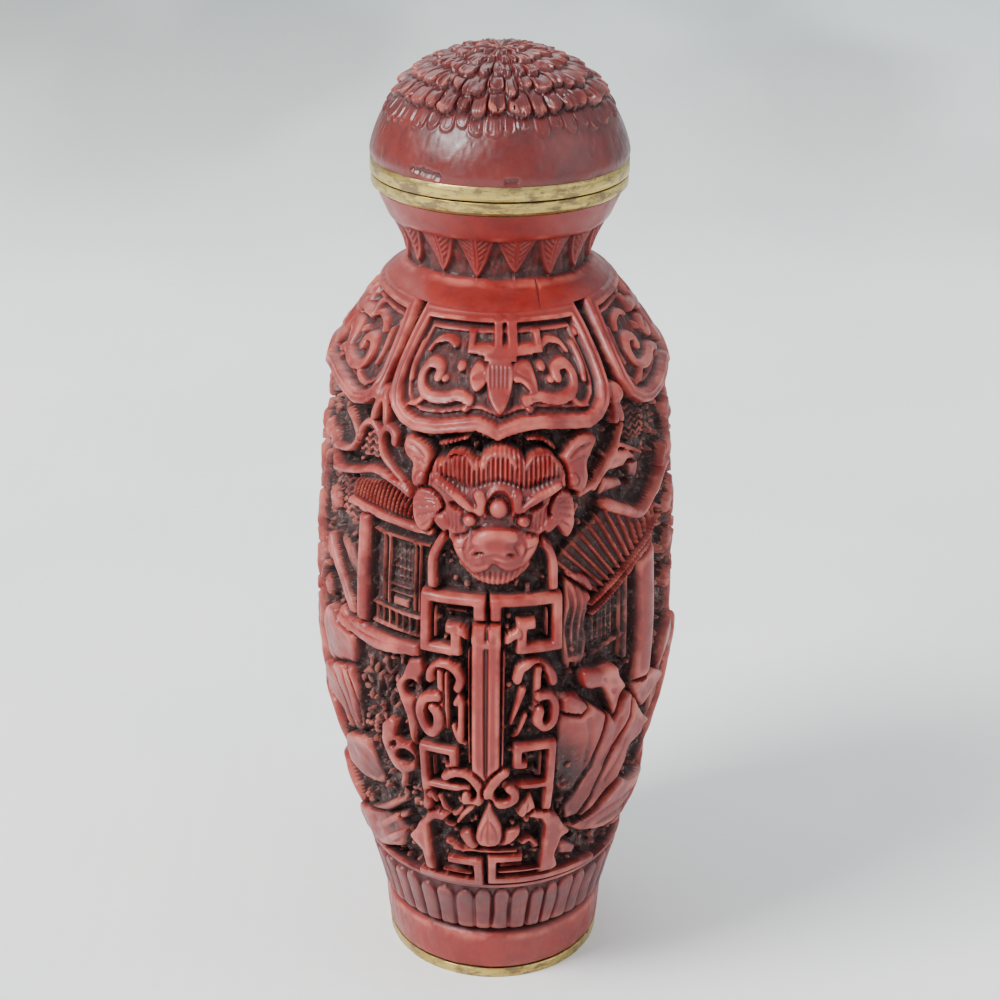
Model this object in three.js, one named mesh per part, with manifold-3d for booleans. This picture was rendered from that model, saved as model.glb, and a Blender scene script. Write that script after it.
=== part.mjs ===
// A carved red lacquer snuff bottle, 80 mm tall, with brass rims and a domed lid that lifts off.
// Millimetres, +Z up, origin at the centre of the foot. The front, with its lion mask, faces -Y.
// Relief is placed on the oval wall by t, the angle in degrees from the front (positive towards +X),
// z, the height, and lift, the distance above the main surface.
import * as THREE from "three";
import { mergeVertices } from "three/addons/utils/BufferGeometryUtils.js";
import Module from "manifold-3d";

const wasm = await Module();
wasm.setup();

// ---- Driving dimensions ----
const TOTAL_HEIGHT = 80;
const FOOT_RIM_HEIGHT = 0.9;
const BODY_TOP = 67.9;
const MOUTH_RIM_TOP = 69.1;
const LID_RIM_BOTTOM = 69.4;
const LID_RIM_TOP = 70.5;
const LID_RADIUS = 10.83;
const MOUTH_RIM_RADIUS = 10.75;
const BODY_TOP_RADIUS = 10.35;
const BORE_RADIUS = 4.4;
const PLUG_RADIUS = 3.95;
const PLUG_LENGTH = 3.6;
const FOOT_RIM_WIDTH = 2.1;
const GROUND_DEPTH = 1.35;
const WALL = 2.5;
const CAVITY_FLOOR = 5.2;
const ROOT_DEPTH = 0.5; // how far each relief element reaches below the ground it grows from
const FLUTES = 32;
const PETALS = 16;
const BODY_COLUMNS = 32;
const CAVITY_COLUMNS = 16;

// Main surface: height, half width across X, and depth across Y over width.
const PROFILE = [
  [FOOT_RIM_HEIGHT, 9.2, 1.32],
  [4.4, 9.55, 1.32],
  [9.4, 11.0, 1.36],
  [14, 12.6, 1.4],
  [18, 13.5, 1.4],
  [22, 14.4, 1.4],
  [26, 15.0, 1.4],
  [30, 15.4, 1.4],
  [34, 15.5, 1.4],
  [38, 15.4, 1.4],
  [42, 15.2, 1.4],
  [46, 15.0, 1.4],
  [50, 14.7, 1.4],
  [53.5, 14.1, 1.4],
  [55.6, 12.9, 1.38],
  [57.7, 11.4, 1.34],
  [59.8, 9.7, 1.27],
  [60.4, 9.2, 1.24],
  [61.8, 8.1, 1.0],
  [63.4, 8.3, 1.0],
  [65.6, 9.3, 1.0],
  [BODY_TOP, BODY_TOP_RADIUS, 1.0],
];
// How far the carved ground lies below the main surface, by height.
const GROUND = [
  [52.4, GROUND_DEPTH],
  [53.3, 0.5],
  [59.9, 0.5],
  [60.3, 0],
];

// ---- Surface and small geometry helpers ----
function sample(table, z, column) {
  const last = table.length - 1;
  if (z <= table[0][0]) return table[0][column];
  if (z >= table[last][0]) return table[last][column];
  const i = table.findIndex((row) => row[0] > z);
  const [a, b] = [table[i - 1], table[i]];
  return THREE.MathUtils.mapLinear(z, a[0], b[0], a[column], b[column]);
}

function halfWidth(z) {
  return sample(PROFILE, z, 1);
}

function halfDepth(z) {
  return halfWidth(z) * sample(PROFILE, z, 2);
}

function groundLift(z) {
  return -sample(GROUND, z, 1);
}

function onWall(t, z, lift) {
  const angle = THREE.MathUtils.degToRad(t);
  const x = (halfWidth(z) + lift) * Math.sin(angle);
  const y = -(halfDepth(z) + lift) * Math.cos(angle);
  return new THREE.Vector3(x, y, z);
}

// Millimetres along the wall for one degree of t.
function millimetresPerDegree(t, z) {
  const angle = THREE.MathUtils.degToRad(t);
  const along = Math.hypot(halfWidth(z) * Math.cos(angle), halfDepth(z) * Math.sin(angle));
  return THREE.MathUtils.degToRad(along);
}

// Faces between two rings that start at points a and b. The first ring has as many points as the
// second, or twice as many.
function stitch(a, aSize, b, bSize) {
  const faces = [];
  const ratio = aSize / bSize;
  for (let i = 0; i < bSize; i++) {
    const j = (i + 1) % bSize;
    const lower = [a + i * ratio, a + ((i + 1) * ratio) % aSize];
    if (ratio === 1) {
      faces.push(lower[0], lower[1], b + j, lower[0], b + j, b + i);
    } else {
      const between = lower[0] + 1;
      faces.push(lower[0], between, b + i, between, b + j, b + i, between, lower[1], b + j);
    }
  }
  return faces;
}

// A closed geometry through a row of point rings: each ring joins the next, and the ends are closed
// by a fan, unless the row loops back to its first ring.
function skin(rings, loops = false) {
  const points = rings.flat();
  const starts = rings.map((_, r) => rings.slice(0, r).reduce((sum, ring) => sum + ring.length, 0));
  const faces = [];
  const last = loops ? rings.length : rings.length - 1;
  for (let r = 0; r < last; r++) {
    const next = (r + 1) % rings.length;
    faces.push(...stitch(starts[r], rings[r].length, starts[next], rings[next].length));
  }
  if (!loops) {
    const end = starts.at(-1);
    for (let i = 1; i < rings[0].length - 1; i++) faces.push(0, i + 1, i);
    for (let i = 1; i < rings.at(-1).length - 1; i++) faces.push(end, end + i, end + i + 1);
  }
  const geometry = new THREE.BufferGeometry().setFromPoints(points);
  geometry.setIndex(faces);
  return geometry;
}

function manifoldFrom(vertProperties, triVerts) {
  return new wasm.Manifold(new wasm.Mesh({ numProp: 3, vertProperties, triVerts }));
}

// A solid from a closed geometry, turned face out if its rings ran the other way.
function solid(geometry) {
  const bare = geometry.clone();
  bare.deleteAttribute("normal");
  bare.deleteAttribute("uv");
  const merged = mergeVertices(bare, 1e-4);
  const corners = new Uint32Array(merged.index.array);
  const made = manifoldFrom(merged.attributes.position.array, corners);
  return made.volume() >= 0 ? made : manifoldFrom(merged.attributes.position.array, corners.reverse());
}

function join(solids) {
  return wasm.Manifold.union(solids);
}

function geometryOf(made) {
  const mesh = made.getMesh();
  const geometry = new THREE.BufferGeometry();
  geometry.setAttribute("position", new THREE.BufferAttribute(mesh.vertProperties, 3));
  geometry.setIndex(new THREE.BufferAttribute(mesh.triVerts, 1));
  return geometry;
}

// ---- Relief elements ----
// A band of even width along a line of [t, z] points, flat on top, rooted in the ground.
function bar(line, width, lift, loops = false) {
  const count = line.length;
  const rings = line.map(([t, z], i) => {
    const before = loops ? line[(i + count - 1) % count] : line[Math.max(i - 1, 0)];
    const after = loops ? line[(i + 1) % count] : line[Math.min(i + 1, count - 1)];
    const scale = millimetresPerDegree(t, z);
    const into = new THREE.Vector2((t - before[0]) * scale, z - before[1]).normalize();
    const out = new THREE.Vector2((after[0] - t) * scale, after[1] - z).normalize();
    const mean = into.clone().add(out).normalize();
    const stretch = Math.min(1 / Math.max(mean.dot(into.lengthSq() ? into : out), 0.5), 1.5);
    const half = (stretch * width) / 2;
    const [dt, dz] = [(-mean.y * half) / scale, mean.x * half];
    const root = groundLift(z) - ROOT_DEPTH;
    return [
      onWall(t + dt, z + dz, root),
      onWall(t + dt, z + dz, lift),
      onWall(t - dt, z - dz, lift),
      onWall(t - dt, z - dz, root),
    ];
  });
  return solid(skin(rings, loops));
}

// A plate between an upper and a lower line of [t, z] points.
function plate(upper, lower, lift, lowerLift = lift) {
  const rings = upper.map(([t, z], i) => {
    const [tl, zl] = lower[i];
    const low = groundLift(zl) - ROOT_DEPTH;
    return [
      onWall(t, z, groundLift(z) - ROOT_DEPTH),
      onWall(t, z, lift),
      onWall(tl, zl, lowerLift),
      onWall(tl, zl, low),
    ];
  });
  return solid(skin(rings));
}

// A rounded lump: an outline of [t, z] points, raised to edge, then to crown over its middle.
function mound(outline, edge, crown, shoulder = 0.6) {
  const count = outline.length;
  const middle = [0, 1].map((k) => outline.reduce((sum, p) => sum + p[k], 0) / count);
  const shrink = (share) => outline.map((p) => p.map((v, k) => middle[k] + (v - middle[k]) * share));
  const ring = (points, liftAt) => points.map(([t, z]) => onWall(t, z, liftAt(z)));
  const root = (z) => groundLift(z) - ROOT_DEPTH;
  const rings = [
    ring(outline, root),
    ring(outline, () => edge),
    ring(shrink(shoulder), () => crown),
  ];
  return solid(skin(rings));
}

function ellipse([t, z], wide, high, sides = 8, turn = 0) {
  const scale = millimetresPerDegree(t, z);
  return Array.from({ length: sides }, (_, i) => {
    const point = new THREE.Vector2(
      wide * Math.cos((2 * Math.PI * i) / sides),
      high * Math.sin((2 * Math.PI * i) / sides),
    );
    point.rotateAround(new THREE.Vector2(), THREE.MathUtils.degToRad(turn));
    return [t + point.x / scale, z + point.y];
  });
}

// A scroll: an arc about [t, z] from one bearing to another, with the radius going from one to the other.
function scroll([t, z], fromRadius, toRadius, fromBearing, toBearing, steps) {
  const scale = millimetresPerDegree(t, z);
  return Array.from({ length: steps + 1 }, (_, i) => {
    const radius = THREE.MathUtils.lerp(fromRadius, toRadius, i / steps);
    const bearing = THREE.MathUtils.degToRad(THREE.MathUtils.lerp(fromBearing, toBearing, i / steps));
    return [t + (radius * Math.cos(bearing)) / scale, z + radius * Math.sin(bearing)];
  });
}

// A line with points added so that none of its steps turns further than 8 degrees round the wall.
function follow(line, step = 8) {
  return line.flatMap((point, i) => {
    if (i === 0) return [point];
    const before = line[i - 1];
    const parts = Math.max(1, Math.ceil(Math.abs(point[0] - before[0]) / step));
    return Array.from({ length: parts }, (_, k) =>
      point.map((v, axis) => THREE.MathUtils.lerp(before[axis], v, (k + 1) / parts)),
    );
  });
}

// ---- The four lappets that hang from the neck ----
const LAPPET_RIM_LIFT = 0.45;
const LAPPET_RIM_WIDTH = 1.1;
const FULL_LAPPET = 42; // half angle of the front lappet, the unit of the lappet's own points
const SIDE_LAPPET = 45;
const LAPPET_MIDDLE = 1.5; // the front lappet hangs a little to the right of the middle
// Half of the lower edge, from the middle to the upper corner, in shares of the half width.
const LAPPET_EDGE = [
  [0, 52.7],
  [0.22, 53.5],
  [0.76, 53.3],
  [0.95, 54.9],
  [0.86, 59.7],
];

function lappet(middle, halfAngle, plain) {
  const right = LAPPET_EDGE.map(([share, z]) => [middle + share * halfAngle, z]);
  const left = LAPPET_EDGE.map(([share, z]) => [middle - share * halfAngle, z]).reverse();
  const lower = [...left.slice(0, -1), ...right];
  const rim = [...lower, ...follow([right.at(-1), left[0]], 18).slice(1, -1)];
  const at = (t, z) => [middle + (t * halfAngle) / FULL_LAPPET, z];
  const main = [
    bar(rim, LAPPET_RIM_WIDTH, LAPPET_RIM_LIFT, true),
    mound([at(-4, 56.9), at(5, 56.9), at(4, 55.4), at(0.5, 54.3), at(-3, 55.4)], 0.3, 0.7),
  ];
  if (plain) return main;
  return [
    ...main,
    ...[-1, 1].map((way) => bar([at(way * 8, 54.9), at(way * 28, 55), at(way * 21, 57.3)], 0.75, 0.2)),
    bar(follow([at(-12, 58.2), at(17, 58.2)], 15), 0.8, 0.3),
    mound([at(-5, 56.8), at(-8, 55.8), at(-15, 56.6), at(-13, 57.6)], 0.05, 0.3),
    mound([at(6, 56.8), at(9, 55.8), at(16, 56.6), at(14, 57.6)], 0.05, 0.3),
  ];
}

// ---- The lion mask with the fretted pendant that hangs from its mouth ----
function mask(plain) {
  const face = [
    [-24, 47.6], [-21, 50.6], [-7, 50.6], [-3, 51.6], [5, 51.7], [9, 50.8], [22, 50.6],
    [25, 47.6], [13.5, 43.6], [-12, 43.6],
  ];
  const snout = [[-13, 42], [-11, 44.6], [-5, 45.6], [6, 45.6], [12, 44.6], [14, 42], [0.5, 41.6]];
  const both = [-1, 1].flatMap((way) => {
    const on = (t, z) => [0.5 + way * t, z];
    return [
      mound([on(19, 48.4), on(22, 51.7), on(32, 51.2), on(27, 48)], -0.1, 0.35),
      mound([on(18, 46.9), on(25.5, 47.3), on(25, 44.6), on(18, 44.6)], 0, 0.5),
      bar([on(29, 47.4), on(37, 48.2), on(43.5, 51.3)], 1, 0.1),
      mound([on(6, 46.4), on(8, 47.6), on(18.5, 49.1), on(12, 46.5)], 0.6, 1.15, 0.55),
    ];
  });
  const main = [
    mound(face, 0.15, 0.7, 0.7),
    mound(snout, 0.7, 1.3, 0.65),
    bar([[-15.5, 43], [-18.6, 42.4], [-20, 39.5]], 0.75, 0),
    bar([[15.2, 43], [17, 42.4], [18, 39.5]], 0.75, 0),
  ];
  if (plain) return main;
  return [
    ...main,
    mound(ellipse([0.5, 46.8], 0.85, 0.8, 6), 0.9, 1.4),
    ...both,
  ];
}

function pendant(plain) {
  const over = 0.12;
  const under = 0;
  const main = [
    // upper fret
    bar([[-10.8, 36.6], [-10.8, 34.4], [-21.8, 34.4], [-21.8, 38.8], [18.8, 38.8], [18.8, 34.5],
      [7.8, 34.5], [7.8, 36.9]], 1, over),
    // strap
    bar([[-4.9, 38.2], [-5, 22.6]], 1.1, under),
    bar([[-0.4, 38.2], [-0.9, 22.6]], 1.05, under),
    // lower fret
    bar([[-13.3, 23.4], [-13.3, 24.9], [-23.6, 24.9], [-23.8, 18.8]], 0.85, over),
    bar([[7.2, 23.8], [7.2, 25.7], [18.8, 25.7], [19.3, 18.8]], 0.85, over),
    // the chime-shaped fret over the ledge, with a lotus bud
    bar([[-34, 15.2], [-26.8, 16.8], [-26.8, 11]], 1, over),
    bar([[29.5, 15.6], [21.8, 16.9], [21.8, 11]], 1, over),
    bar([[-24.8, 17.2], [-20, 18.3], [16, 18.3], [19.8, 17.2]], 0.9, under),
    mound([[-6.5, 16.6], [-2, 19.7], [3, 16.6], [-2, 15]], 0.25, 0.75),
  ];
  if (plain) return main;
  return [
    ...main,
    // side hooks
    bar(scroll([-15.5, 31.6], 1.35, 1.2, 200, -20, 2), 0.8, over),
    bar([[-16.3, 32], [-16.4, 29.4]], 0.8, under),
    bar(scroll([-20, 28], 1.1, 0.6, 60, 330, 3), 0.8, over),
    bar(scroll([12.5, 31.8], 1.35, 1.2, 200, -20, 2), 0.8, over),
    bar([[12.7, 32.2], [13, 29.6]], 0.8, under),
    bar(scroll([16, 28.5], 1.1, 0.6, 130, -150, 3), 0.8, over),
    // the two curls that meet under the strap, and their bars
    bar([[-22.3, 21.3], [-13, 21.3]], 0.75, under),
    bar([[9.2, 21.8], [17.8, 21.8]], 0.75, under),
    bar(scroll([-8, 21.4], 1.4, 0.7, 120, -150, 3), 0.9, 0.3),
    bar(scroll([3.3, 21.3], 1.5, 0.7, 60, 330, 3), 0.9, 0.3),
    bar([[-17.5, 13.5], [-2.8, 13.6], [12, 13.8]], 0.8, over),
  ];
}

// ---- The pavilions and rocks on the broad sides ----
function ribs(count, fromLine, toLine, width, lift) {
  const between = ([a, b], share) => a.map((v, k) => THREE.MathUtils.lerp(v, b[k], share));
  return Array.from({ length: count }, (_, i) => {
    const share = (i + 0.5) / count;
    return bar([between(fromLine, share), between(toLine, share)], width, lift);
  });
}

function leftPavilion(plain) {
  const ridge = [[-62, 46.1], [-42, 48], [-28, 47.3]];
  const eave = [[-54, 44.4], [-40, 44.6], [-26, 44.6]];
  const main = [
    plate(ridge, eave, -0.1, 0.1),
    bar(follow([[-52, 43.9], [-24, 43.9]], 14), 0.7, 0.3),
    bar([[-47, 43.5], [-47, 34.4]], 1.35, 0.2),
    bar(follow([[-52, 33.6], [-25, 33.2]], 14), 1.4, -0.1),
  ];
  if (plain) return main;
  return [
    ...main,
    ...ribs(5, [[-54, 46.2], [-28, 46.8]], [[-54, 44.8], [-28, 44.8]], 0.6, 0.35),
    bar([[-40, 43.5], [-40, 34.4]], 0.5, -0.3),
    bar([[-27, 43.5], [-27, 34.4]], 0.5, -0.3),
    bar([[-38, 36.4], [-29, 36.4]], 0.55, -0.5),
  ];
}

function rightPavilion(plain) {
  const ridge = [[32, 46.3], [50, 44.3], [71, 47]];
  const eave = [[26, 38.4], [46, 40], [68, 43.4]];
  const main = [
    plate(ridge, eave, -0.1, 0.15),
    bar([[31, 36.9], [45, 38.7], [60, 41.2]], 0.6, 0.2),
    bar([[56, 40], [57, 28.2]], 2, 0.35),
    bar([[46, 27.8], [58, 27.2], [70, 26.6]], 1.4, 0.2),
  ];
  if (plain) return main;
  return [
    ...main,
    ...ribs(6, [[34, 44.8], [64, 43.6]], [[34, 39.8], [64, 42.6]], 0.55, 0.4),
    bar([[46, 38.2], [46.5, 28.8]], 0.6, -0.3),
    bar([[38, 36.9], [38, 32.6]], 0.5, -0.5),
    mound([[34, 47.6], [38, 50], [50, 49], [52, 47.4]], -0.4, 0.1),
  ];
}

function rocks(plain) {
  const main = [
    // the draped strata below the right pavilion
    mound([[28, 31.8], [40, 31.4], [47, 28.4], [30, 28.4]], -0.1, 0.25, 0.7),
    mound([[23, 28.2], [40, 27], [35, 21], [28, 17.6], [22, 21]], -0.5, 0, 0.6),
    mound([[43, 27.2], [49, 27], [47, 22], [39, 17.2], [32, 16.4]], -0.3, 0.15, 0.6),
    mound([[50, 26], [62, 23.4], [54, 18.4], [44, 16.8]], -0.5, 0, 0.6),
    // rock masses and pine boughs round the sides
    mound([[-89, 30], [-74, 32], [-60, 34], [-50, 31], [-50, 23], [-60, 17], [-86, 20]], -0.3, 0.25, 0.65),
    mound([[-84, 15.6], [-60, 15], [-44, 18], [-40, 13], [-60, 12], [-80, 12.4]], -0.6, -0.2, 0.6),
    mound([[-88, 42], [-78, 44], [-70, 42], [-68, 36], [-78, 33.4], [-86, 34.6]], -0.3, 0.6, 0.6),
    mound([[-86, 51.6], [-70, 52], [-62, 49.6], [-68, 46.4], [-80, 45.6]], -0.4, 0.35, 0.6),
    mound([[71, 42], [80, 45.4], [89, 43], [90, 38], [80, 35.4], [73, 37]], -0.3, 0.6, 0.6),
    mound([[66, 22], [72, 31], [84, 32], [90, 27], [87, 18], [74, 13]], -0.4, 0.35, 0.6),
    mound([[68, 50.6], [84, 51.6], [89, 48.4], [76, 47.4]], -0.5, 0.1, 0.6),
  ];
  if (plain) return main;
  return [
    ...main,
    // the broken trunk beside the ring and the pierced rock
    mound([[22, 40.6], [30, 39.4], [31, 36], [26, 32]], -0.4, 0.1, 0.6),
    mound([[-40, 25.6], [-32, 26.4], [-33, 21.4], [-38, 20]], -0.3, 0.15, 0.6),
  ];
}

// ---- The hollow body ----
function loft(stations, columns) {
  const rings = stations.map(([z, rx, ry]) =>
    Array.from({ length: columns }, (_, i) => {
      const angle = (2 * Math.PI * i) / columns;
      return new THREE.Vector3(rx * Math.sin(angle), -ry * Math.cos(angle), z);
    }),
  );
  return solid(skin(rings));
}

// A ring of the body's skin. Its height and lift may differ between even and odd columns.
function wallRing(columns, even, odd = even) {
  return Array.from({ length: columns }, (_, i) => {
    const [z, lift] = i % 2 === 0 ? even : odd;
    return onWall((i * 360) / columns, z, lift);
  });
}

// The skin from the foot up, with the flutes over the foot and the lotus petals on the neck as
// toothed ledges: their tips are on the even columns and the notches between them on the odd ones.
function bodyCore() {
  const fluted = 2 * FLUTES;
  const petalled = 2 * PETALS;
  const plainHeights = [18, 26, 34, 43, 52.4, 53.3, 56, 59.9, 60.3, 61.8];
  return solid(
    skin([
      wallRing(fluted, [FOOT_RIM_HEIGHT, 0]),
      wallRing(fluted, [4.6, 0]),
      wallRing(fluted, [5.2, -0.5], [7.4, -0.6]),
      wallRing(fluted, [5.5, 0], [7.6, -0.4]),
      wallRing(fluted, [11, 0.1]),
      wallRing(petalled, [11.4, -GROUND_DEPTH]),
      ...plainHeights.map((z) => wallRing(petalled, [z, groundLift(z)])),
      wallRing(petalled, [62.3, -0.6], [64.6, -0.7]),
      wallRing(petalled, [62.5, 0], [64.8, -0.3]),
      wallRing(petalled, [65.7, 0]),
      wallRing(petalled, [BODY_TOP, 0]),
    ]),
  );
}

function cavity() {
  const inner = GROUND_DEPTH + WALL;
  const floorCorner = 1; // the cavity narrows by this much at its floor
  const stations = [8, 14, 22, 34, 48, 54].map((z) => [z, halfWidth(z) - inner, halfDepth(z) - inner]);
  stations.unshift([
    CAVITY_FLOOR,
    halfWidth(CAVITY_FLOOR) - inner - floorCorner,
    halfDepth(CAVITY_FLOOR) - inner - floorCorner,
  ]);
  stations.push([58, BORE_RADIUS + 0.5, BORE_RADIUS + 2]);
  stations.push([61, BORE_RADIUS, BORE_RADIUS]);
  stations.push([BODY_TOP + 1, BORE_RADIUS, BORE_RADIUS]);
  return loft(stations, CAVITY_COLUMNS);
}

function body() {
  const scenes = (plain) => [
    ...mask(plain), ...pendant(plain), ...leftPavilion(plain), ...rightPavilion(plain), ...rocks(plain),
  ];
  const relief = [
    ...scenes(false),
    ...scenes(true).map((element) => element.rotate([0, 0, 180])),
    ...lappet(LAPPET_MIDDLE, FULL_LAPPET, false),
    ...lappet(LAPPET_MIDDLE + 90, SIDE_LAPPET, true),
    ...lappet(LAPPET_MIDDLE + 180, FULL_LAPPET, true),
    ...lappet(LAPPET_MIDDLE + 270, SIDE_LAPPET, true),
  ];
  return join([bodyCore(), ...relief]).subtract(cavity());
}

// ---- Brass rims ----
const RIM_SEGMENTS = 28;
const FOOT_RIM_TAPER = 0.1;
const MOUTH_RIM_BEVEL = 0.4;
const LID_RIM_STEP = 1.6; // the seat inside the lid's rim that rests on the mouth rim

function turned(points) {
  const geometry = new THREE.LatheGeometry(points.map(([r, z]) => new THREE.Vector2(r, z)), RIM_SEGMENTS);
  return solid(geometry.rotateX(Math.PI / 2));
}

function footRim() {
  const outer = [halfWidth(0), halfDepth(0)];
  const ring = (z, inset) =>
    Array.from({ length: BODY_COLUMNS }, (_, i) => {
      const angle = (2 * Math.PI * i) / BODY_COLUMNS;
      return new THREE.Vector3((outer[0] - inset) * Math.sin(angle), (inset - outer[1]) * Math.cos(angle), z);
    });
  const rings = [
    ring(0, FOOT_RIM_TAPER),
    ring(FOOT_RIM_HEIGHT, 0),
    ring(FOOT_RIM_HEIGHT, FOOT_RIM_WIDTH),
    ring(0, FOOT_RIM_WIDTH),
  ];
  return solid(skin(rings, true));
}

function mouthRim() {
  return turned([
    [BORE_RADIUS, BODY_TOP],
    [BODY_TOP_RADIUS, BODY_TOP],
    [MOUTH_RIM_RADIUS, BODY_TOP + MOUTH_RIM_BEVEL],
    [MOUTH_RIM_RADIUS, MOUTH_RIM_TOP],
    [BORE_RADIUS, MOUTH_RIM_TOP],
    [BORE_RADIUS, BODY_TOP],
  ]);
}

function lidRim() {
  const seat = LID_RADIUS - LID_RIM_STEP;
  return turned([
    [0, MOUTH_RIM_TOP - PLUG_LENGTH],
    [PLUG_RADIUS, MOUTH_RIM_TOP - PLUG_LENGTH],
    [PLUG_RADIUS, MOUTH_RIM_TOP],
    [seat, MOUTH_RIM_TOP],
    [seat, LID_RIM_BOTTOM],
    [LID_RADIUS, LID_RIM_BOTTOM],
    [LID_RADIUS, LID_RIM_TOP],
    [0, LID_RIM_TOP],
  ]);
}

// ---- The domed lid: a plain band, then rows of overlapping tongues up to the crown ----
const DOME_BAND = [
  [LID_RIM_TOP, LID_RADIUS],
  [72.4, 10.5],
  [73.9, 9.9],
];
const TONGUE_ROWS = [
  [74.3, 9.5],
  [76.1, 8.3],
  [77.6, 6.6],
  [78.7, 4.6],
  [79.4, 2.4],
];
const TONGUES = 16;
const TONGUE_LENGTH = 0.55; // share of the way to the next row that the gaps between tongues reach
const TONGUE_STAND = 0.4; // how far a tip stands out from the row below
const CROWN_RADIUS = 0.6;

function lidDome() {
  const columns = 2 * TONGUES;
  const ring = (radiusAt, heightAt) =>
    Array.from({ length: columns }, (_, i) => {
      const angle = (2 * Math.PI * i) / columns;
      return new THREE.Vector3(radiusAt(i) * Math.sin(angle), -radiusAt(i) * Math.cos(angle), heightAt(i));
    });
  const rings = DOME_BAND.map(([z, r]) => ring(() => r, () => z));
  TONGUE_ROWS.forEach(([z, r], row) => {
    const isTip = (i) => (i + row) % 2 === 0;
    const length = TONGUE_LENGTH * (1 - row / 8);
    const [zAbove, rAbove] = TONGUE_ROWS[row + 1] ?? [TOTAL_HEIGHT, CROWN_RADIUS];
    const rise = (i) => (isTip(i) ? 0 : length);
    const climb = (i) => rise(i) / Math.hypot(zAbove - z, rAbove - r);
    const radius = (i) => THREE.MathUtils.lerp(r, rAbove, climb(i) * 0.8);
    const height = (i) => THREE.MathUtils.lerp(z, zAbove, climb(i) * 0.8);
    rings.push(ring((i) => radius(i), (i) => height(i) - TONGUE_STAND * 0.35));
    rings.push(ring((i) => radius(i) + TONGUE_STAND * 0.6, (i) => height(i)));
  });
  rings.push(ring(() => CROWN_RADIUS, () => TOTAL_HEIGHT));
  return solid(skin(rings));
}

// ---- The five pieces ----
function piece(name, made, color, roughness, metalness) {
  const material = new THREE.MeshStandardMaterial({ color, roughness, metalness });
  const mesh = new THREE.Mesh(geometryOf(made), material);
  mesh.name = name;
  return mesh;
}

const RED = 0xb34c45;
const DARK_RED = 0x8c3a34;
const BRASS = 0xb8964f;

const bottle = new THREE.Group();
bottle.add(piece("carved_body", body(), RED, 0.55, 0));
bottle.add(piece("foot_rim", footRim(), BRASS, 0.4, 1));
bottle.add(piece("mouth_rim", mouthRim(), BRASS, 0.4, 1));
bottle.add(piece("lid_rim", lidRim(), BRASS, 0.4, 1));
bottle.add(piece("lid_dome", lidDome(), DARK_RED, 0.4, 0));

export default bottle;
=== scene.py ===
# %% [markdown]
# # A carved lacquer snuff bottle
# The bottle is an oval flask of red lacquer, carved all over, with brass rims and a domed lid. The
# carving is one continuous skin with hundreds of small forms on it, so it is not built from loose
# blocks. The wall is treated as a flat sheet: every form is carved into a height over the angle round
# the bottle and the height up it. Then the sheet is rolled up into rings of real mesh, and everything
# else (rims, lid, floor) is made round it.

# %% Frame
import math
import bpy
import bmesh
import numpy as np
from mathutils import Matrix, Vector


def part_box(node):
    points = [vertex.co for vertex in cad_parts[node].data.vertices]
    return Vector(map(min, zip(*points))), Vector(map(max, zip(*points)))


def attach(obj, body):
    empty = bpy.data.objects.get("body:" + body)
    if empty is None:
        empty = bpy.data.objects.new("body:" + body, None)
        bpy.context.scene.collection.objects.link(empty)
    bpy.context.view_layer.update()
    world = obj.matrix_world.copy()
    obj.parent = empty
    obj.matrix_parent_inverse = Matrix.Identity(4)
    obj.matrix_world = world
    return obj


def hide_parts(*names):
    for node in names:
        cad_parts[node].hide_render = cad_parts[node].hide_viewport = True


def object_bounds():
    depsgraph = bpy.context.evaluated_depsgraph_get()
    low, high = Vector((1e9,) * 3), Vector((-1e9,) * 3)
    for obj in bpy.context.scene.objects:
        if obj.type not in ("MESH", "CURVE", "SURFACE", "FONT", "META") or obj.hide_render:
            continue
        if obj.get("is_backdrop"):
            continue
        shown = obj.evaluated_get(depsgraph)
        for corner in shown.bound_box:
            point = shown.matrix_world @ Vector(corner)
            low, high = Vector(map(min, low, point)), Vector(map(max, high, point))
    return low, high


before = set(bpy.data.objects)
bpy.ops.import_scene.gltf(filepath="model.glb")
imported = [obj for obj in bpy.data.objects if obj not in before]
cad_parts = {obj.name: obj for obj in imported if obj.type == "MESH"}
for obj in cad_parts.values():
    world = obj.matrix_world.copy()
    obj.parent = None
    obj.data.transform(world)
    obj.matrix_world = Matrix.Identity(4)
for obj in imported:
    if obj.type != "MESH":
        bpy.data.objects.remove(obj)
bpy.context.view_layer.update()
MM = 0.001
print("nodes:", sorted(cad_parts))

# %% [markdown]
# All carving is measured in millimetres and degrees: `t` is the angle from the front, positive towards
# +X, and `z` the height. The heights where one zone ends and the next begins come from the frame, so the
# finished skin sits exactly on the brass rims.

# %% Heights and the oval section
FOOT_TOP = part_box("foot_rim")[1][2] / MM
RIM_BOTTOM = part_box("mouth_rim")[0][2] / MM
LID_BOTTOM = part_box("lid_dome")[0][2] / MM
LID_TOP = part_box("lid_dome")[1][2] / MM
LID_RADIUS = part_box("lid_dome")[1][0] / MM
FOOT_LINE = 4.7
FLUTE_TOP = 10.3
COLLAR = 60.3

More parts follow.
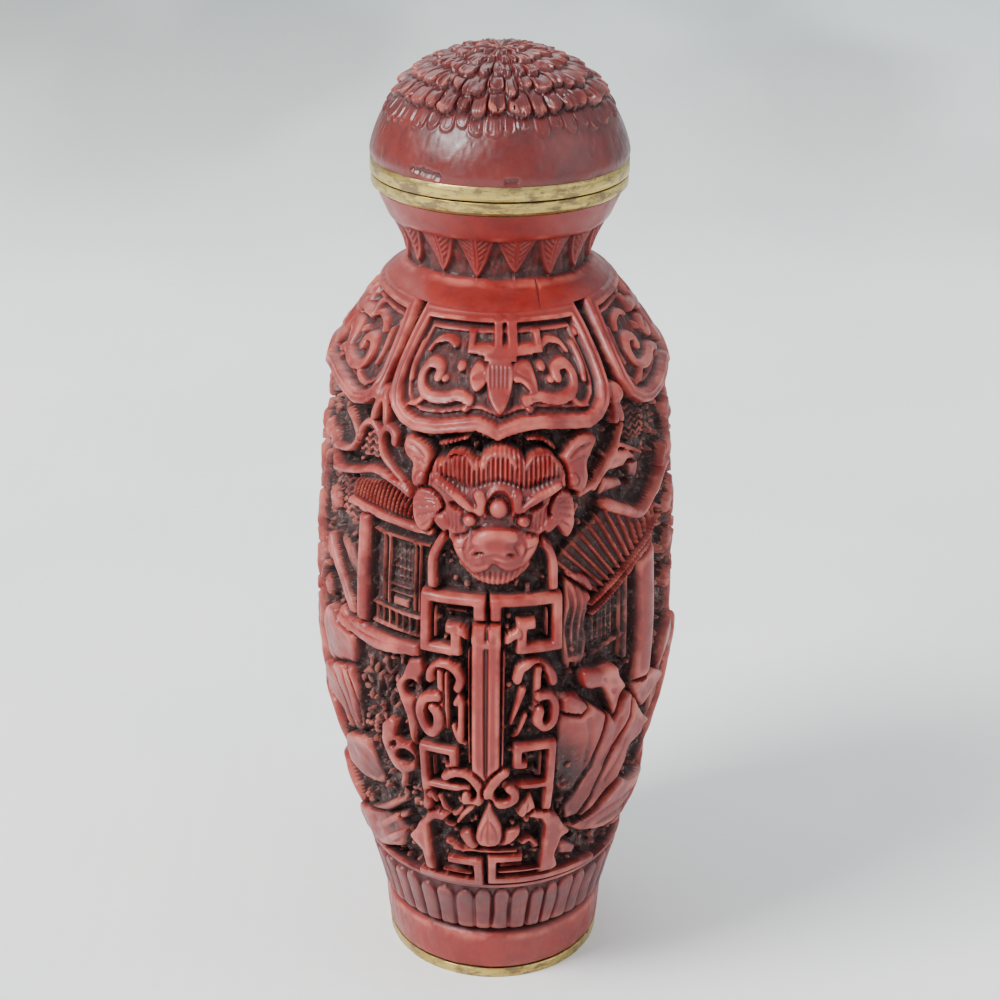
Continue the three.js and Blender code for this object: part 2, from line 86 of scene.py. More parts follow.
# height, half width across X, depth over width
PROFILE = np.array([
    (0.0, 9.15, 1.32), (FOOT_TOP, 9.2, 1.32), (4.4, 9.55, 1.32), (9.4, 11.0, 1.36), (14, 12.6, 1.4),
    (18, 13.5, 1.4), (22, 14.4, 1.4), (26, 15.0, 1.4), (30, 15.38, 1.4), (34, 15.5, 1.4),
    (38, 15.42, 1.4), (42, 15.22, 1.4), (46, 15.0, 1.4), (50, 14.7, 1.4), (53.5, 14.0, 1.4),
    (55.6, 12.9, 1.38), (57.7, 11.4, 1.34), (59.8, 9.75, 1.27), (COLLAR, 9.3, 1.24), (61.8, 8.1, 1.0),
    (63.4, 8.3, 1.0), (65.6, 9.3, 1.0), (RIM_BOTTOM, 10.35, 1.0),
])


def smooth_table(z, table, column):
    """A smooth curve through one column of a table, with no overshoot between its rows."""
    x, y = table[:, 0], table[:, column]
    rise = np.diff(y) / np.diff(x)
    slope = np.concatenate([rise[:1], (rise[1:] + rise[:-1]) / 2, rise[-1:]])
    slope[1:-1][rise[1:] * rise[:-1] <= 0] = 0
    i = np.clip(np.searchsorted(x, z, side="right") - 1, 0, len(x) - 2)
    gap = x[i + 1] - x[i]
    s = np.clip((z - x[i]) / gap, 0, 1)
    first = (2 * s**3 - 3 * s**2 + 1) * y[i] + (s**3 - 2 * s**2 + s) * gap * slope[i]
    return first + (3 * s**2 - 2 * s**3) * y[i + 1] + (s**3 - s**2) * gap * slope[i + 1]


def oval(z):
    """Half width and half depth of the main surface at height z."""
    half_width = smooth_table(z, PROFILE, 1)
    return half_width, half_width * smooth_table(z, PROFILE, 2)


def even_heights(low, high, step):
    """Heights from low to high, spaced evenly along the wall's own curve."""
    fine = np.linspace(low, high, 400)
    half_width, half_depth = oval(fine)
    mean = (half_width + half_depth) / 2
    run = np.concatenate([[0], np.cumsum(np.hypot(np.diff(fine), np.diff(mean)))])
    return np.interp(np.linspace(0, run[-1], max(2, round(run[-1] / step) + 1)), run, fine)


print("body is", round(2 * oval(np.array([34.0]))[0][0], 1), "mm wide at its widest")

# %% [markdown]
# The sheet holds one number for each point of a fine grid: how far the surface stands out from the main
# oval. A window is the part of the sheet that one form can reach, and it knows how many millimetres one
# degree spans there, so that widths stay true all round the oval.

# %% The sheet
SHEET_COLUMNS = 864
FRONT_SHARE = 0.6
FINE_HALF = 78
ROW_STEP = 0.15
GROUND = -1.65
SEAMS = (FOOT_LINE, FLUTE_TOP, 22.8, 35.3, 47.8, COLLAR)


def angles_round(columns, front_share):
    """Angles from -180 to 180, closer together over the front, where the finest carving is."""
    front = np.linspace(-FINE_HALF, FINE_HALF, round(columns * front_share) + 1)
    rest = np.linspace(FINE_HALF, 360 - FINE_HALF, columns - len(front) + 2)[1:-1]
    return np.sort((np.concatenate([front, rest]) + 180) % 360 - 180)


class Sheet:
    """The carved wall laid flat. `turn` and `stretch` move the carver's own zero and unit of angle."""

    def __init__(self, heights, angles, ground):
        self.z = heights
        self.angles = angles
        self.columns = len(angles)
        self.relief = np.full((len(heights), self.columns), float(ground))
        self.turn = 0.0
        self.stretch = 1.0

    def across(self, true_t, z):
        """Millimetres that one radian of angle spans at each place."""
        half_width, half_depth = oval(z)
        angle = np.radians(true_t)
        return np.hypot(half_width * np.cos(angle), half_depth * np.sin(angle))

    def column_at(self, angle):
        laps = math.floor((angle + 180) / 360)
        ring = np.append(self.angles, self.angles[0] + 360)
        return np.interp(angle - 360 * laps, ring, np.arange(self.columns + 1)) + self.columns * laps

    def window(self, t_low, t_high, z_low, z_high):
        first = math.floor(self.column_at(t_low * self.stretch + self.turn))
        last = math.ceil(self.column_at(t_high * self.stretch + self.turn))
        row = np.arange(np.searchsorted(self.z, z_low), np.searchsorted(self.z, z_high))
        return Window(self, row, np.arange(first, last + 1))

    def band(self, z_low=-1, z_high=99):
        """A window that goes right round."""
        row = np.arange(np.searchsorted(self.z, z_low), np.searchsorted(self.z, z_high))
        return Window(self, row, np.arange(self.columns))


class Window:
    def __init__(self, sheet, row, column):
        self.sheet = sheet
        self.where = np.ix_(row, column % sheet.columns)
        true_t = sheet.angles[column % sheet.columns] + 360 * (column // sheet.columns)
        self.true_t, self.z = np.meshgrid(true_t, sheet.z[row])
        self.t = (self.true_t - sheet.turn) / sheet.stretch
        self.scale = np.radians(sheet.across(self.true_t, self.z)) * sheet.stretch

    def get(self):
        return self.sheet.relief[self.where]

    def put(self, relief):
        self.sheet.relief[self.where] = relief


LEAST_DEGREE = 0.16  # millimetres that one degree spans where it spans least


def window_round(sheet, points, margin):
    """The window that holds these points with a margin in millimetres."""
    points = np.asarray(points, float)
    t, z = points[:, 0], points[:, 1]
    wide = margin / LEAST_DEGREE
    return sheet.window(t.min() - wide, t.max() + wide, z.min() - margin, z.max() + margin)


heights = np.unique(np.concatenate([even_heights(a, b, ROW_STEP) for a, b in zip(SEAMS, SEAMS[1:])]))
sheet = Sheet(heights, angles_round(SHEET_COLUMNS, FRONT_SHARE), GROUND)
print("sheet:", len(heights), "rows of", SHEET_COLUMNS)

# %% [markdown]
# Every form starts as a distance: how far a point lies inside the form's edge. A line, a square-ended
# bar, an oval and an outline each have their own measure. `lay` turns the distance into carving: a steep
# wall, a top that rounds off towards its edges as worn lacquer does, and a moat cut round it where it
# overlaps something else.

# %% Distances
def soften(x):
    x = np.clip(x, 0, 1)
    return x * x * (3 - 2 * x)


def curve(points, closed=False, parts=6):
    """A smooth line through a few points."""
    p = np.asarray(points, float)
    before = np.roll(p, 1, 0) if closed else np.vstack([2 * p[0] - p[1], p[:-1]])
    after = np.roll(p, -1, 0) if closed else np.vstack([p[1:], 2 * p[-1] - p[-2]])
    beyond = np.roll(after, -1, 0) if closed else np.vstack([after[1:], 2 * after[-1] - after[-2]])
    s = np.arange(parts)[:, None, None] / parts
    body = (
        2 * p + (after - before) * s + (2 * before - 5 * p + 4 * after - beyond) * s**2
        + (3 * p - before - 3 * after + beyond) * s**3
    ) / 2
    line = body.transpose(1, 0, 2).reshape(-1, 2)
    return line if closed else np.vstack([line[: -parts], p[-1:]])


def along(window, points):
    """Distance to a line of points, and how far along it the nearest place is, from 0 to 1."""
    best = np.full(window.t.shape, 1e9)
    share = np.zeros(window.t.shape)
    count = len(points) - 1
    for i in range(count):
        (ta, za), (tb, zb) = points[i], points[i + 1]
        px, pz = (window.t - ta) * window.scale, window.z - za
        vx, vz = (tb - ta) * window.scale, zb - za
        s = np.clip((px * vx + pz * vz) / (vx**2 + vz**2 + 1e-9), 0, 1)
        gap = np.hypot(px - s * vx, pz - s * vz)
        closer = gap < best
        best = np.where(closer, gap, best)
        share = np.where(closer, (i + s) / count, share)
    return best, share


def in_line(window, points, width, taper=(1, 1)):
    gap, share = along(window, points)
    return width / 2 * (taper[0] + (taper[1] - taper[0]) * share) - gap


def in_bar(window, points, width):
    """Inside distance of straight bars with square corners and ends."""
    inside = np.full(window.t.shape, -1e9)
    for (ta, za), (tb, zb) in zip(points, points[1:]):
        px, pz = (window.t - ta) * window.scale, window.z - za
        vx, vz = (tb - ta) * window.scale, zb - za
        length = np.hypot(vx, vz) + 1e-9
        ahead = (px * vx + pz * vz) / length
        aside = np.abs(px * vz - pz * vx) / length
        ends = np.minimum(ahead + width / 2, length + width / 2 - ahead)
        inside = np.maximum(inside, np.minimum(width / 2 - aside, ends))
    return inside


def in_area(window, outline):
    outline = np.asarray(outline, float)
    ring = np.vstack([outline, outline[:1]])
    gap, _ = along(window, ring)
    odd = np.zeros(window.t.shape, bool)
    for (ta, za), (tb, zb) in zip(ring, ring[1:]):
        if za == zb:
            continue
        crosses = (za > window.z) != (zb > window.z)
        odd ^= crosses & (window.t < (tb - ta) * (window.z - za) / (zb - za) + ta)
    return np.where(odd, gap, -gap)


def in_oval(window, centre, half_wide, half_high, lean=0):
    """Inside distance of an oval. Its half sizes are in millimetres."""
    x, y = (window.t - centre[0]) * window.scale, window.z - centre[1]
    c, s = math.cos(math.radians(lean)), math.sin(math.radians(lean))
    u, v = x * c + y * s, y * c - x * s
    return (1 - np.hypot(u / half_wide, v / half_high)) * min(half_wide, half_high)


print("three points make a smooth line of", len(curve([(0, 0), (1, 1), (2, 0)])))

# %% [markdown]
# These are the carver's strokes. `lay` raises a form, `sink` cuts a floor inside an edge, and `cut` is
# the fine veining tool. Each works on the window it is given. The strokes after them, from `line` to
# `hatch`, open a window on the wall's own sheet and use one of the three.

# %% Carving strokes
WALL = 0.2  # how wide the steep side of a form is
EDGE = 0.28  # how wide its worn edge is
MOAT_WIDTH = 0.28
REACH = 0.8  # how far past its outline a form may change the sheet


def lay(window, inside, top, drop=0.12, edge=EDGE, moat=0.0, wall=WALL):
    relief = window.get()
    if moat:
        ditch = np.exp(-((np.minimum(inside, 0) / MOAT_WIDTH) ** 2)) * (inside < 0)
        relief -= ditch * np.maximum(relief - (np.mean(top) - moat), 0)
    level = top - drop * np.clip(1 - inside / edge, 0, 1) ** 2
    relief += soften(inside / wall + 0.5) * np.maximum(level - relief, 0)
    window.put(relief)


def sink(window, inside, floor, wall=WALL):
    relief = window.get()
    relief += soften(inside / wall + 0.5) * np.minimum(floor - relief, 0)
    window.put(relief)


def cut(window, gap, depth, width, mask=1.0):
    window.put(window.get() - depth * mask * np.exp(-((gap / (width / 2)) ** 2)))


def line(points, width, top, taper=(1, 1), smooth=True, **finish):
    points = curve(points) if smooth else np.asarray(points, float)
    w = window_round(sheet, points, width)
    lay(w, in_line(w, points, width, taper), top, **finish)


def bar(points, width, top, **finish):
    w = window_round(sheet, points, width)
    lay(w, in_bar(w, points, width), top, **finish)


def area(outline, top, smooth=True, **finish):
    outline = curve(outline, closed=True) if smooth else outline
    w = window_round(sheet, outline, REACH)
    lay(w, in_area(w, outline), top, **finish)


def dome(centre, half_wide, half_high, base, rise, lean=0, **finish):
    reach = max(half_wide, half_high)
    w = window_round(sheet, [centre], reach + REACH)
    inside = in_oval(w, centre, half_wide, half_high, lean)
    share = np.clip(1 - inside / min(half_wide, half_high), 0, 1)
    lay(w, inside, base + rise * np.sqrt(1 - share**2 * 0.98), drop=0, **finish)


def groove(points, depth, width, smooth=True, taper=(1, 1)):
    points = curve(points) if smooth else np.asarray(points, float)
    w = window_round(sheet, points, width)
    gap, share = along(w, points)
    fade = taper[0] + (taper[1] - taper[0]) * share
    cut(w, gap, depth * fade, width)


def hole(centre, half_wide, half_high, floor, lean=0):
    w = window_round(sheet, [centre], max(half_wide, half_high) + 0.5)
    sink(w, in_oval(w, centre, half_wide, half_high, lean), floor)


def hatch(starts, ends, count, depth=0.16, width=0.2):
    """Grooves that fan from one line of points to another."""
    starts, ends = curve(starts, parts=8), curve(ends, parts=8)
    for share in np.linspace(0, 1, count):
        pick = [
            [np.interp(share, np.linspace(0, 1, len(row)), row[:, k]) for k in (0, 1)] for row in (starts,
                ends)
        ]
        groove(pick, depth, width, smooth=False)


print("a form's side is", WALL, "mm wide and its worn edge", EDGE, "mm")

# %% [markdown]
# Smooth random unevenness, the same on every run: random numbers on a coarse lattice, blended between.
# It closes on itself round the bottle. The rough ground between the forms is several sizes of it added.

# %% Unevenness
def uneven(t, z, size, seed):
    """Values from -1 to 1 that wander over about `size` millimetres."""
    around = max(4, round(2 * math.pi * 18 / size))
    table = np.random.default_rng(seed).uniform(-1, 1, (around, 512))
    u = (t + 360) / 360 * around
    v = z / size + 40
    i, j = np.floor(u).astype(int), np.floor(v).astype(int)
    a, b = soften(u - i), soften(v - j)
    i0, i1, j0, j1 = i % around, (i + 1) % around, j % 512, (j + 1) % 512
    low = table[i0, j0] * (1 - a) + table[i1, j0] * a
    high = table[i0, j1] * (1 - a) + table[i1, j1] * a
    return low * (1 - b) + high * b


def blur(field, rows, columns):
    """Three box averages, which come close to a bell curve. The columns wrap round."""
    for _ in range(3):
        wrapped = np.concatenate([field[:, -columns:], field, field[:, :columns]], 1)
        total = np.cumsum(np.pad(wrapped, ((0, 0), (1, 0))), 1)
        field = (total[:, 2 * columns + 1:] - total[:, : -2 * columns - 1]) / (2 * columns + 1)
        tall = np.pad(field, ((rows, rows), (0, 0)), mode="edge")
        total = np.cumsum(np.pad(tall, ((1, 0), (0, 0))), 0)
        field = (total[2 * rows + 1:] - total[: -2 * rows - 1]) / (2 * rows + 1)
    return field


def rough_ground():
    w = sheet.band()
    lumps = 0.26 * uneven(w.true_t, w.z, 1.5, 1) + 0.2 * uneven(w.true_t, w.z, 0.62, 2)
    w.put(w.get() + lumps + 0.12 * uneven(w.true_t, w.z, 0.34, 3))


CRUMB_COUNT = 2600
CRUMB_SEED = 5


def crumbs(count, seed):
    """The little beads and scraps that the carver's point leaves standing on the ground."""
    random = np.random.default_rng(seed)
    for t, z, size, top in random.uniform((-180, 11, 0.16, -1.3), (180, 53, 0.34, -0.75), (count, 4)):
        dome((t, z), size, size * 0.9, top, 0.3)


rough_ground()
crumbs(CRUMB_COUNT, CRUMB_SEED)
print("ground laid, from", sheet.relief.min().round(2), "to", sheet.relief.max().round(2), "mm")

# %% [markdown]
# Four collars of lotus hang over the shoulder, one on each face of the oval. Each is a raised rim with a
# groove in it round a sunk floor, and on the floor sits a lotus between two scrolls, under a small
# T-shaped key that hangs from the neck. One function carves all four, turned and stretched to fit.

# %% Shoulder collars
COLLAR_EDGE = [
    (0, 52.05), (3, 52.4), (8, 52.75), (14, 52.85), (22, 52.6), (31, 52.3), (36, 52.7), (40, 53.6),
    (42.3, 55), (43, 57), (42.5, 59), (41, 60.6), (20, 60.7), (0, 60.7), (-20, 60.7), (-38.5, 60.6),
    (-40, 58.5), (-40.5, 56.5), (-40, 54.8), (-37.5, 53.4), (-33, 52.5), (-28, 52.1), (-20, 52.2),
    (-12, 52.6), (-7, 52.8), (-3, 52.5),
]


def collar_rim():
    edge = np.array(COLLAR_EDGE)
    w = window_round(sheet, edge, 1.2)
    inside = in_area(w, edge)
    rim = 0.42 - 0.12 * np.clip((w.z - 54) / 6, 0, 1)
    lay(w, inside, rim, drop=0.25, edge=0.45, moat=1.2)
    cut(w, inside - 0.6, 0.2, 0.28)
    sink(w, inside - 1.1, -0.78, wall=0.3)
    rough = uneven(w.true_t, w.z, 0.55, 11) + 0.7 * uneven(w.true_t, w.z, 0.3, 12)
    w.put(w.get() + 0.13 * rough * soften((inside - 1.3) / 0.3))
    lay(w, 0.17 - np.abs(inside - 1.62), -0.3, drop=0.1, edge=0.2)


def lotus():
    key = 0.22
    bar([(-11.4, 58.9), (-11.4, 58.05), (17.4, 58.05), (17.4, 58.9)], 0.62, key)
    bar([(-7, 57.9), (13, 57.9)], 0.5, key)
    for low, high in ((-2, 2.3), (3.7, 9)):
        middle = (low + high) / 2
        bar([(middle, 58.2), (middle, 60.2)], (high - low) * 0.17, key)
    for outline in (
        [(-4.2, 57), (-8, 57.3), (-10.8, 56.6), (-10, 55.7), (-7.5, 55.4), (-4.2, 56)],
        [(5.5, 57), (8, 57.4), (13, 57.2), (14.8, 56), (14.5, 55.3), (12, 55.3), (9, 55.9), (5.7, 56.1)],
    ):
        area(outline, 0.05, drop=0.25)
    area([(-4, 57.3), (5.5, 57.3), (5.4, 55.8), (3.4, 54.6), (0.6, 54), (-2.4, 54.7), (-4, 55.7)], 0.2,
         drop=0.3)
    bar([(-4.5, 57.55), (6.5, 57.55)], 0.45, 0.3)
    for t in (-2.6, -1, 0.7, 2.3, 4):
        groove([(t, 57), (t * 0.9, 55.9)], 0.22, 0.22, smooth=False)
    groove([(-5.4, 56.6), (-9.3, 56.3)], 0.2, 0.22)
    groove([(7, 56.7), (12.6, 56.1)], 0.2, 0.22)
    dome((-14.5, 56.9), 0.42, 0.36, -0.5, 0.6)
    dome((17.3, 56.9), 0.42, 0.36, -0.5, 0.6)


def collar_scrolls():
    for side in (-1, 1):
        def path(points):
            return [(side * t, z) for t, z in points]

        line(path([(10, 54.85), (14, 55.1), (19, 54.8), (24, 54.75), (28, 55.2), (29.2, 56.1), (27.5, 56.8),
                   (24.5, 56.9), (22.3, 56.6), (22.9, 56.1)]), 0.78, 0.12, drop=0.2)
        line(path([(26, 54.9), (29, 54.2), (32.5, 53.9)]), 0.7, 0.0, taper=(1, 0.4), drop=0.2)
        line(path([(29.5, 57.6), (27, 58.2), (22, 58.45), (18.5, 58.2)]), 0.62, 0.05, taper=(0.6, 1),
             drop=0.2)
        line(path([(33.3, 57.9), (34.3, 56.6), (33.6, 55.6)]), 0.5, -0.05, drop=0.2)
        dome((side * 11.2, 54.3), 0.42, 0.32, -0.5, 0.5)
        dome((side * 20.3, 56.0), 0.36, 0.3, -0.6, 0.5)
        dome((side * 36.6, 58.6), 0.42, 0.4, -0.6, 0.5)
        groove(path([(12, 55.0), (19, 54.78), (24, 54.72)]), 0.1, 0.2)


def corner_knots():
    """Where two collars meet, a ball with a scroll either side hangs below them."""
    for side in (-1, 1):
        line([(side * 42, 54.4), (side * 44.2, 53.2), (side * 45, 52.2)], 0.8, 0.1, drop=0.2)
        dome((side * 45, 54.2), 0.8, 0.75, -0.3, 0.75)


def collar():
    collar_rim()
    lotus()
    collar_scrolls()
    corner_knots()


print("collar outline of", len(COLLAR_EDGE), "points")

# %% [markdown]
# On the front a beast mask holds a ring, as cast handles do. It is modelled in layers, from the flat of
# the face up to the bead of the nose: hair and ears first, then brows, eyes and cheeks, and the snout
# last, which stands out furthest of all. The back of the bottle has the same mask with less veining.

# %% Mask: hair, ears and face
FACE = [
    (-20.5, 50), (-20, 50.3), (-16, 50.6), (-12, 51), (-8, 50.9), (-5.5, 50.6), (-4.5, 51.2), (-1, 51.7),
    (3, 51.75), (7, 51.3), (9.5, 50.5), (11, 50.9), (15, 51.1), (18, 50.8), (20.5, 50.1), (21.5, 49.5),
    (22, 47), (19, 45.3), (14, 44.6), (12, 43), (9, 41.9), (4, 41.5), (-1, 41.8), (-6, 41.3), (-10, 41.6),
    (-13.5, 43), (-15, 44.6), (-20, 45.5), (-22, 48),
]


def mask_face(fine):
    area(FACE, 0.2, smooth=False, drop=0.3, edge=0.8, moat=1.3)
    for side in (-1, 1):
        line([(side * 7.5, 44.9), (side * 11, 44.5), (side * 14.5, 45.0), (side * 17, 46)], 0.5, 0.42,
             drop=0.25)
    hair = [(-20, 50.1), (-16, 50.6), (-12, 51), (-8, 50.9), (-5.5, 50.6), (-4.5, 51.2), (-1, 51.7),
            (3, 51.75), (7, 51.3), (9.5, 50.5), (11, 50.9), (15, 51.1), (18, 50.8), (20.5, 50.1),
            (19.5, 49), (14, 48.9), (9, 48.3), (4, 48.9), (0.5, 49.1), (-4, 48.8), (-8, 48.2), (-13, 48.9),
            (-19, 49.2)]
    area(hair, 0.5, smooth=False, drop=0.3, edge=0.5)
    if fine:
        for t in np.arange(-18.5, 20, 1.45):
            low = 48.7 + 0.35 * math.cos(math.radians(t * 18))
            groove([(t, low), (t * 1.02, 52)], 0.4, 0.26, smooth=False)
    for t, rise in ((-12, 0.1), (0.8, 0.2), (14, 0.1)):
        line([(t - 5, 50.0 + rise), (t - 2.5, 50.9 + rise), (t + 2.5, 50.9 + rise), (t + 5, 50.0 + rise)],
             0.3, 0.52)


def mask_ears(fine):
    ears = (
        [(-20.5, 49.9), (-22, 51), (-26, 51.6), (-30, 51.7), (-31.3, 51.1), (-30, 50.1), (-27.5, 49.6),
         (-27.8, 48.9), (-26.5, 47.6), (-22.5, 47.5)],
        [(20.5, 50), (23, 51), (27, 51.9), (31, 52), (33.5, 51.4), (31, 50.3), (29.5, 49.6), (29.8, 48.4),
         (28, 47.5), (24.5, 47.6)],
    )
    for ear, side in zip(ears, (-1, 1)):
        area(ear, 0.25, drop=0.25, edge=0.4, moat=0.9)
        groove([(side * 23.5, 50.4), (side * 26.5, 51), (side * 30.5, 51.2)], 0.25, 0.3)
        if fine:
            groove([(side * 22.5, 49.9), (side * 26.5, 50.2), (side * 28, 50.3)], 0.15, 0.2)
        middle = (side * 23.8, 48.6)
        dome(middle, 1.02, 0.98, 0.1, 0.42)
        w = window_round(sheet, [middle], 1.6)
        cut(w, in_oval(w, middle, 0.6, 0.6), 0.28, 0.26)
    strands = (
        [(-27.5, 47.1), (-31, 47.8), (-36, 48.6), (-39.5, 49.4), (-40.8, 50.4), (-40.5, 51.3), (-38, 51.7),
         (-35.5, 51.3), (-35.3, 50.7)],
        [(27, 47.1), (32, 47.6), (37, 48.6), (41, 49.8), (44, 51), (45.5, 51.6)],
    )
    line(strands[0], 0.55, 0.0, taper=(0.9, 1.6), drop=0.2)
    line(strands[1], 0.55, 0.0, taper=(1.2, 0.7), drop=0.2)
    line([(-19, 51.45), (-15, 51.75), (-10, 52.2)], 0.4, 0.1)
    line([(10, 52.15), (15, 52), (19, 51.2)], 0.4, 0.1)


print("face outline of", len(FACE), "points")

# %% Mask: brows, eyes and cheeks
def mask_brows(fine):
    line([(-18.2, 48.8), (-13.5, 48.0), (-10, 47.2), (-7.5, 46.6), (-5.3, 46.6), (-4.5, 47.2),
          (-5.2, 47.9)], 0.85, 0.82, drop=0.3, taper=(0.85, 1.1), moat=0.4)
    line([(18.8, 48.3), (13, 47.7), (9.8, 47.1), (7.5, 46.7), (6, 47), (6.1, 47.8)], 0.85, 0.82, drop=0.3,
         taper=(0.85, 1.1), moat=0.4)
    if fine:
        for side in (-1, 1):
            for t in np.arange(8, 18, 1.5):
                groove([(side * t, 48.1), (side * (t - 0.9), 49)], 0.12, 0.2, smooth=False)
    line([(-16, 47.2), (-11, 46.2), (-9, 45.2), (-10, 44.6)], 0.5, 0.35)
    line([(16, 47.1), (12, 46.3), (9.6, 45.3), (10.6, 44.8)], 0.5, 0.35)
    hole((-11.9, 46.75), 0.75, 0.22, -0.5, lean=-18)
    hole((11.6, 46.8), 0.7, 0.22, -0.5, lean=18)
    dome((-8.1, 45.75), 0.52, 0.5, 0.4, 0.42, moat=0.6)
    dome((8.1, 45.7), 0.5, 0.48, 0.4, 0.42, moat=0.6)
    if fine:
        hatch([(12.3, 46.6), (16.8, 46.9)], [(12, 44.9), (15.6, 45.1)], 4, 0.16, 0.2)
        hatch([(-12.3, 46.1), (-16.5, 46.6)], [(-12, 44.9), (-15.2, 45.3)], 4, 0.14, 0.2)


def mask_cheeks(fine):
    fans = (
        [(-19, 45.8), (-20.5, 44.7), (-23.5, 44.2), (-26, 44.8), (-27, 46), (-26.4, 47.2), (-23, 47.8),
         (-19, 47.4), (-17, 46.6)],
        [(17, 45.9), (20.5, 44.2), (22.5, 43.8), (24.6, 44.7), (25, 46.2), (24, 47.4), (20, 47.8),
         (17.5, 47)],
    )
    for fan, side in zip(fans, (-1, 1)):
        area(fan, 0.22, drop=0.25, moat=0.8)
        if fine:
            hatch([(side * 18.6, 47.2), (side * 19, 46.6), (side * 20, 45.4)],
                  [(side * 24.6, 47.3), (side * 25.6, 46.2), (side * 23.2, 44.7)], 5, 0.18, 0.22)
    area([(-19.5, 45.3), (-16, 44.5), (-14.6, 45.2), (-17.5, 46)], 0.4)
    area([(19.2, 45.2), (15.8, 44.4), (14.4, 45.1), (17, 45.9)], 0.4)


# %% Mask: snout and teeth
def mask_snout(fine):
    jaw = [(-12, 42), (-10, 41.4), (-6, 40.5), (-1, 40.15), (4, 40.3), (8, 41), (11, 42), (8, 42.4),
           (-8, 42.3)]
    area(jaw, -0.1, drop=0.3)
    if fine:
        hatch([(-10.5, 41.9), (-1, 41.4), (9, 41.9)], [(-9, 41), (-1, 40), (7.2, 40.8)], 12, 0.2, 0.22)
    snout = curve([
        (-6, 45.1), (0, 44.9), (6, 45.1), (9, 44.6), (12.8, 44.2), (12, 43.1), (9, 42.1), (4.5, 41.5),
        (1.5, 41.7),
        (-0.8, 42.1), (-2.5, 41.7), (-6.5, 41.3), (-9.5, 41.9), (-12.5, 43), (-13, 44.1), (-9, 44.5),
    ], closed=True)
    w = window_round(sheet, snout, 1.2)
    inside = in_area(w, snout)
    lay(w, inside, 0.5 + 0.32 * soften(inside / 1.4), drop=0.35, edge=0.45, moat=0.7)
    groove([(-7.5, 44.5), (-9.4, 43.6), (-8.6, 42.4)], 0.22, 0.3)
    groove([(7.3, 44.6), (8.8, 43.6), (7.2, 42.4)], 0.22, 0.3)
    lip = curve([
        (-8.8, 43), (-8.2, 42.5), (-5, 42.3), (-2.5, 42.65), (0, 42.5), (2.5, 42.3), (5.5, 42.4), (6.4, 43),
        (5, 43.8), (6.5, 44.3), (5, 45.1), (-1, 45.4), (-5, 45.1), (-7.5, 44.2), (-6.5, 43.6),
    ], closed=True)
    inside = in_area(w, lip)
    lay(w, inside, 0.86 + 0.22 * soften(inside / 0.9), drop=0.3, edge=0.4, moat=0.3)
    hole((-5.2, 43.2), 0.42, 0.15, 0.5, lean=14)
    hole((4.4, 43.1), 0.38, 0.15, 0.5, lean=-14)
    groove([(-4, 42.9), (0, 43.15), (3.4, 42.8)], 0.18, 0.3)
    groove([(-12, 43.4), (-9.5, 43.5)], 0.2, 0.25)
    groove([(9, 43.4), (12, 43.8)], 0.2, 0.25)
    if fine:
        for z in (45.15, 45.5, 45.85):
            groove([(-5 + (z - 45) * 1.4, z), (0, z + 0.14), (5 - (z - 45) * 1.4, z)], 0.15, 0.18)
    line([(-3.4, 46.2), (-3, 47.4), (-1.4, 48.2), (1, 48.5), (3.4, 48.2), (4.8, 47.3), (4.8, 46.3)], 0.34,
         0.55)
    dome((0.6, 46.85), 0.74, 0.78, 0.45, 0.6, moat=0.7)


def mask(fine):
    mask_ears(fine)
    mask_face(fine)
    mask_brows(fine)
    mask_cheeks(fine)
    mask_snout(fine)

# %% [markdown]
# Below the mask hangs a pendant of squared frets and a strap, down to a chime shape above the foot. Its
# parts are flat-topped bands with square corners, all about as high as the main surface, so they are
# bars with worn edges. The curling hooks either side of the strap are rounder lines. Bars of their own
# mesh would leave seams where they meet, so they are raised on the same sheet as everything else.

# %% Pendant: ring and upper fret
BAND = 0.12


def upper_fret(fine):
    line([(-14.5, 44.2), (-17, 43.8), (-19.5, 42.6), (-20.2, 41.5), (-19.9, 39.7)], 0.8, 0.2, drop=0.25,
         moat=0.7)
    line([(13.5, 43.9), (16, 43.2), (17.7, 42), (18, 39.6)], 0.8, 0.2, drop=0.25, moat=0.7)
    bar([(-4.9, 38.8), (-22, 38.8), (-22, 34.4), (-12.2, 34.4), (-12.2, 36.3), (-14, 36.3)], 0.95, BAND,
        moat=1.0)
    bar([(-0.2, 38.8), (19.2, 38.8), (19.2, 34.7), (8, 34.7), (8, 36.8), (10.8, 36.8)], 0.95, BAND,
        moat=1.0)
    if fine:
        bar([(-19.2, 37.8), (-19.2, 35.3)], 0.28, -0.25)
        bar([(16.2, 37.8), (16.2, 35.6)], 0.28, -0.25)
        bar([(-9.6, 37.7), (-15.5, 37.7)], 0.25, -0.35)
    line([(-10.4, 36.2), (-7, 35.5), (-2.5, 35.15), (2, 35.35), (6.4, 36.1)], 0.75, 0.2, moat=0.3)
    bar([(-5, 38.6), (-5, 35.2)], 1.05, BAND + 0.04)
    bar([(0, 38.6), (0, 35.2)], 0.95, BAND + 0.04)
    if fine:
        for t in np.arange(-10, 7, 1.6):
            dip = 35.85 + 0.009 * (t + 1.5) ** 2
            dome((t, dip), 0.17, 0.15, -0.2, 0.3)


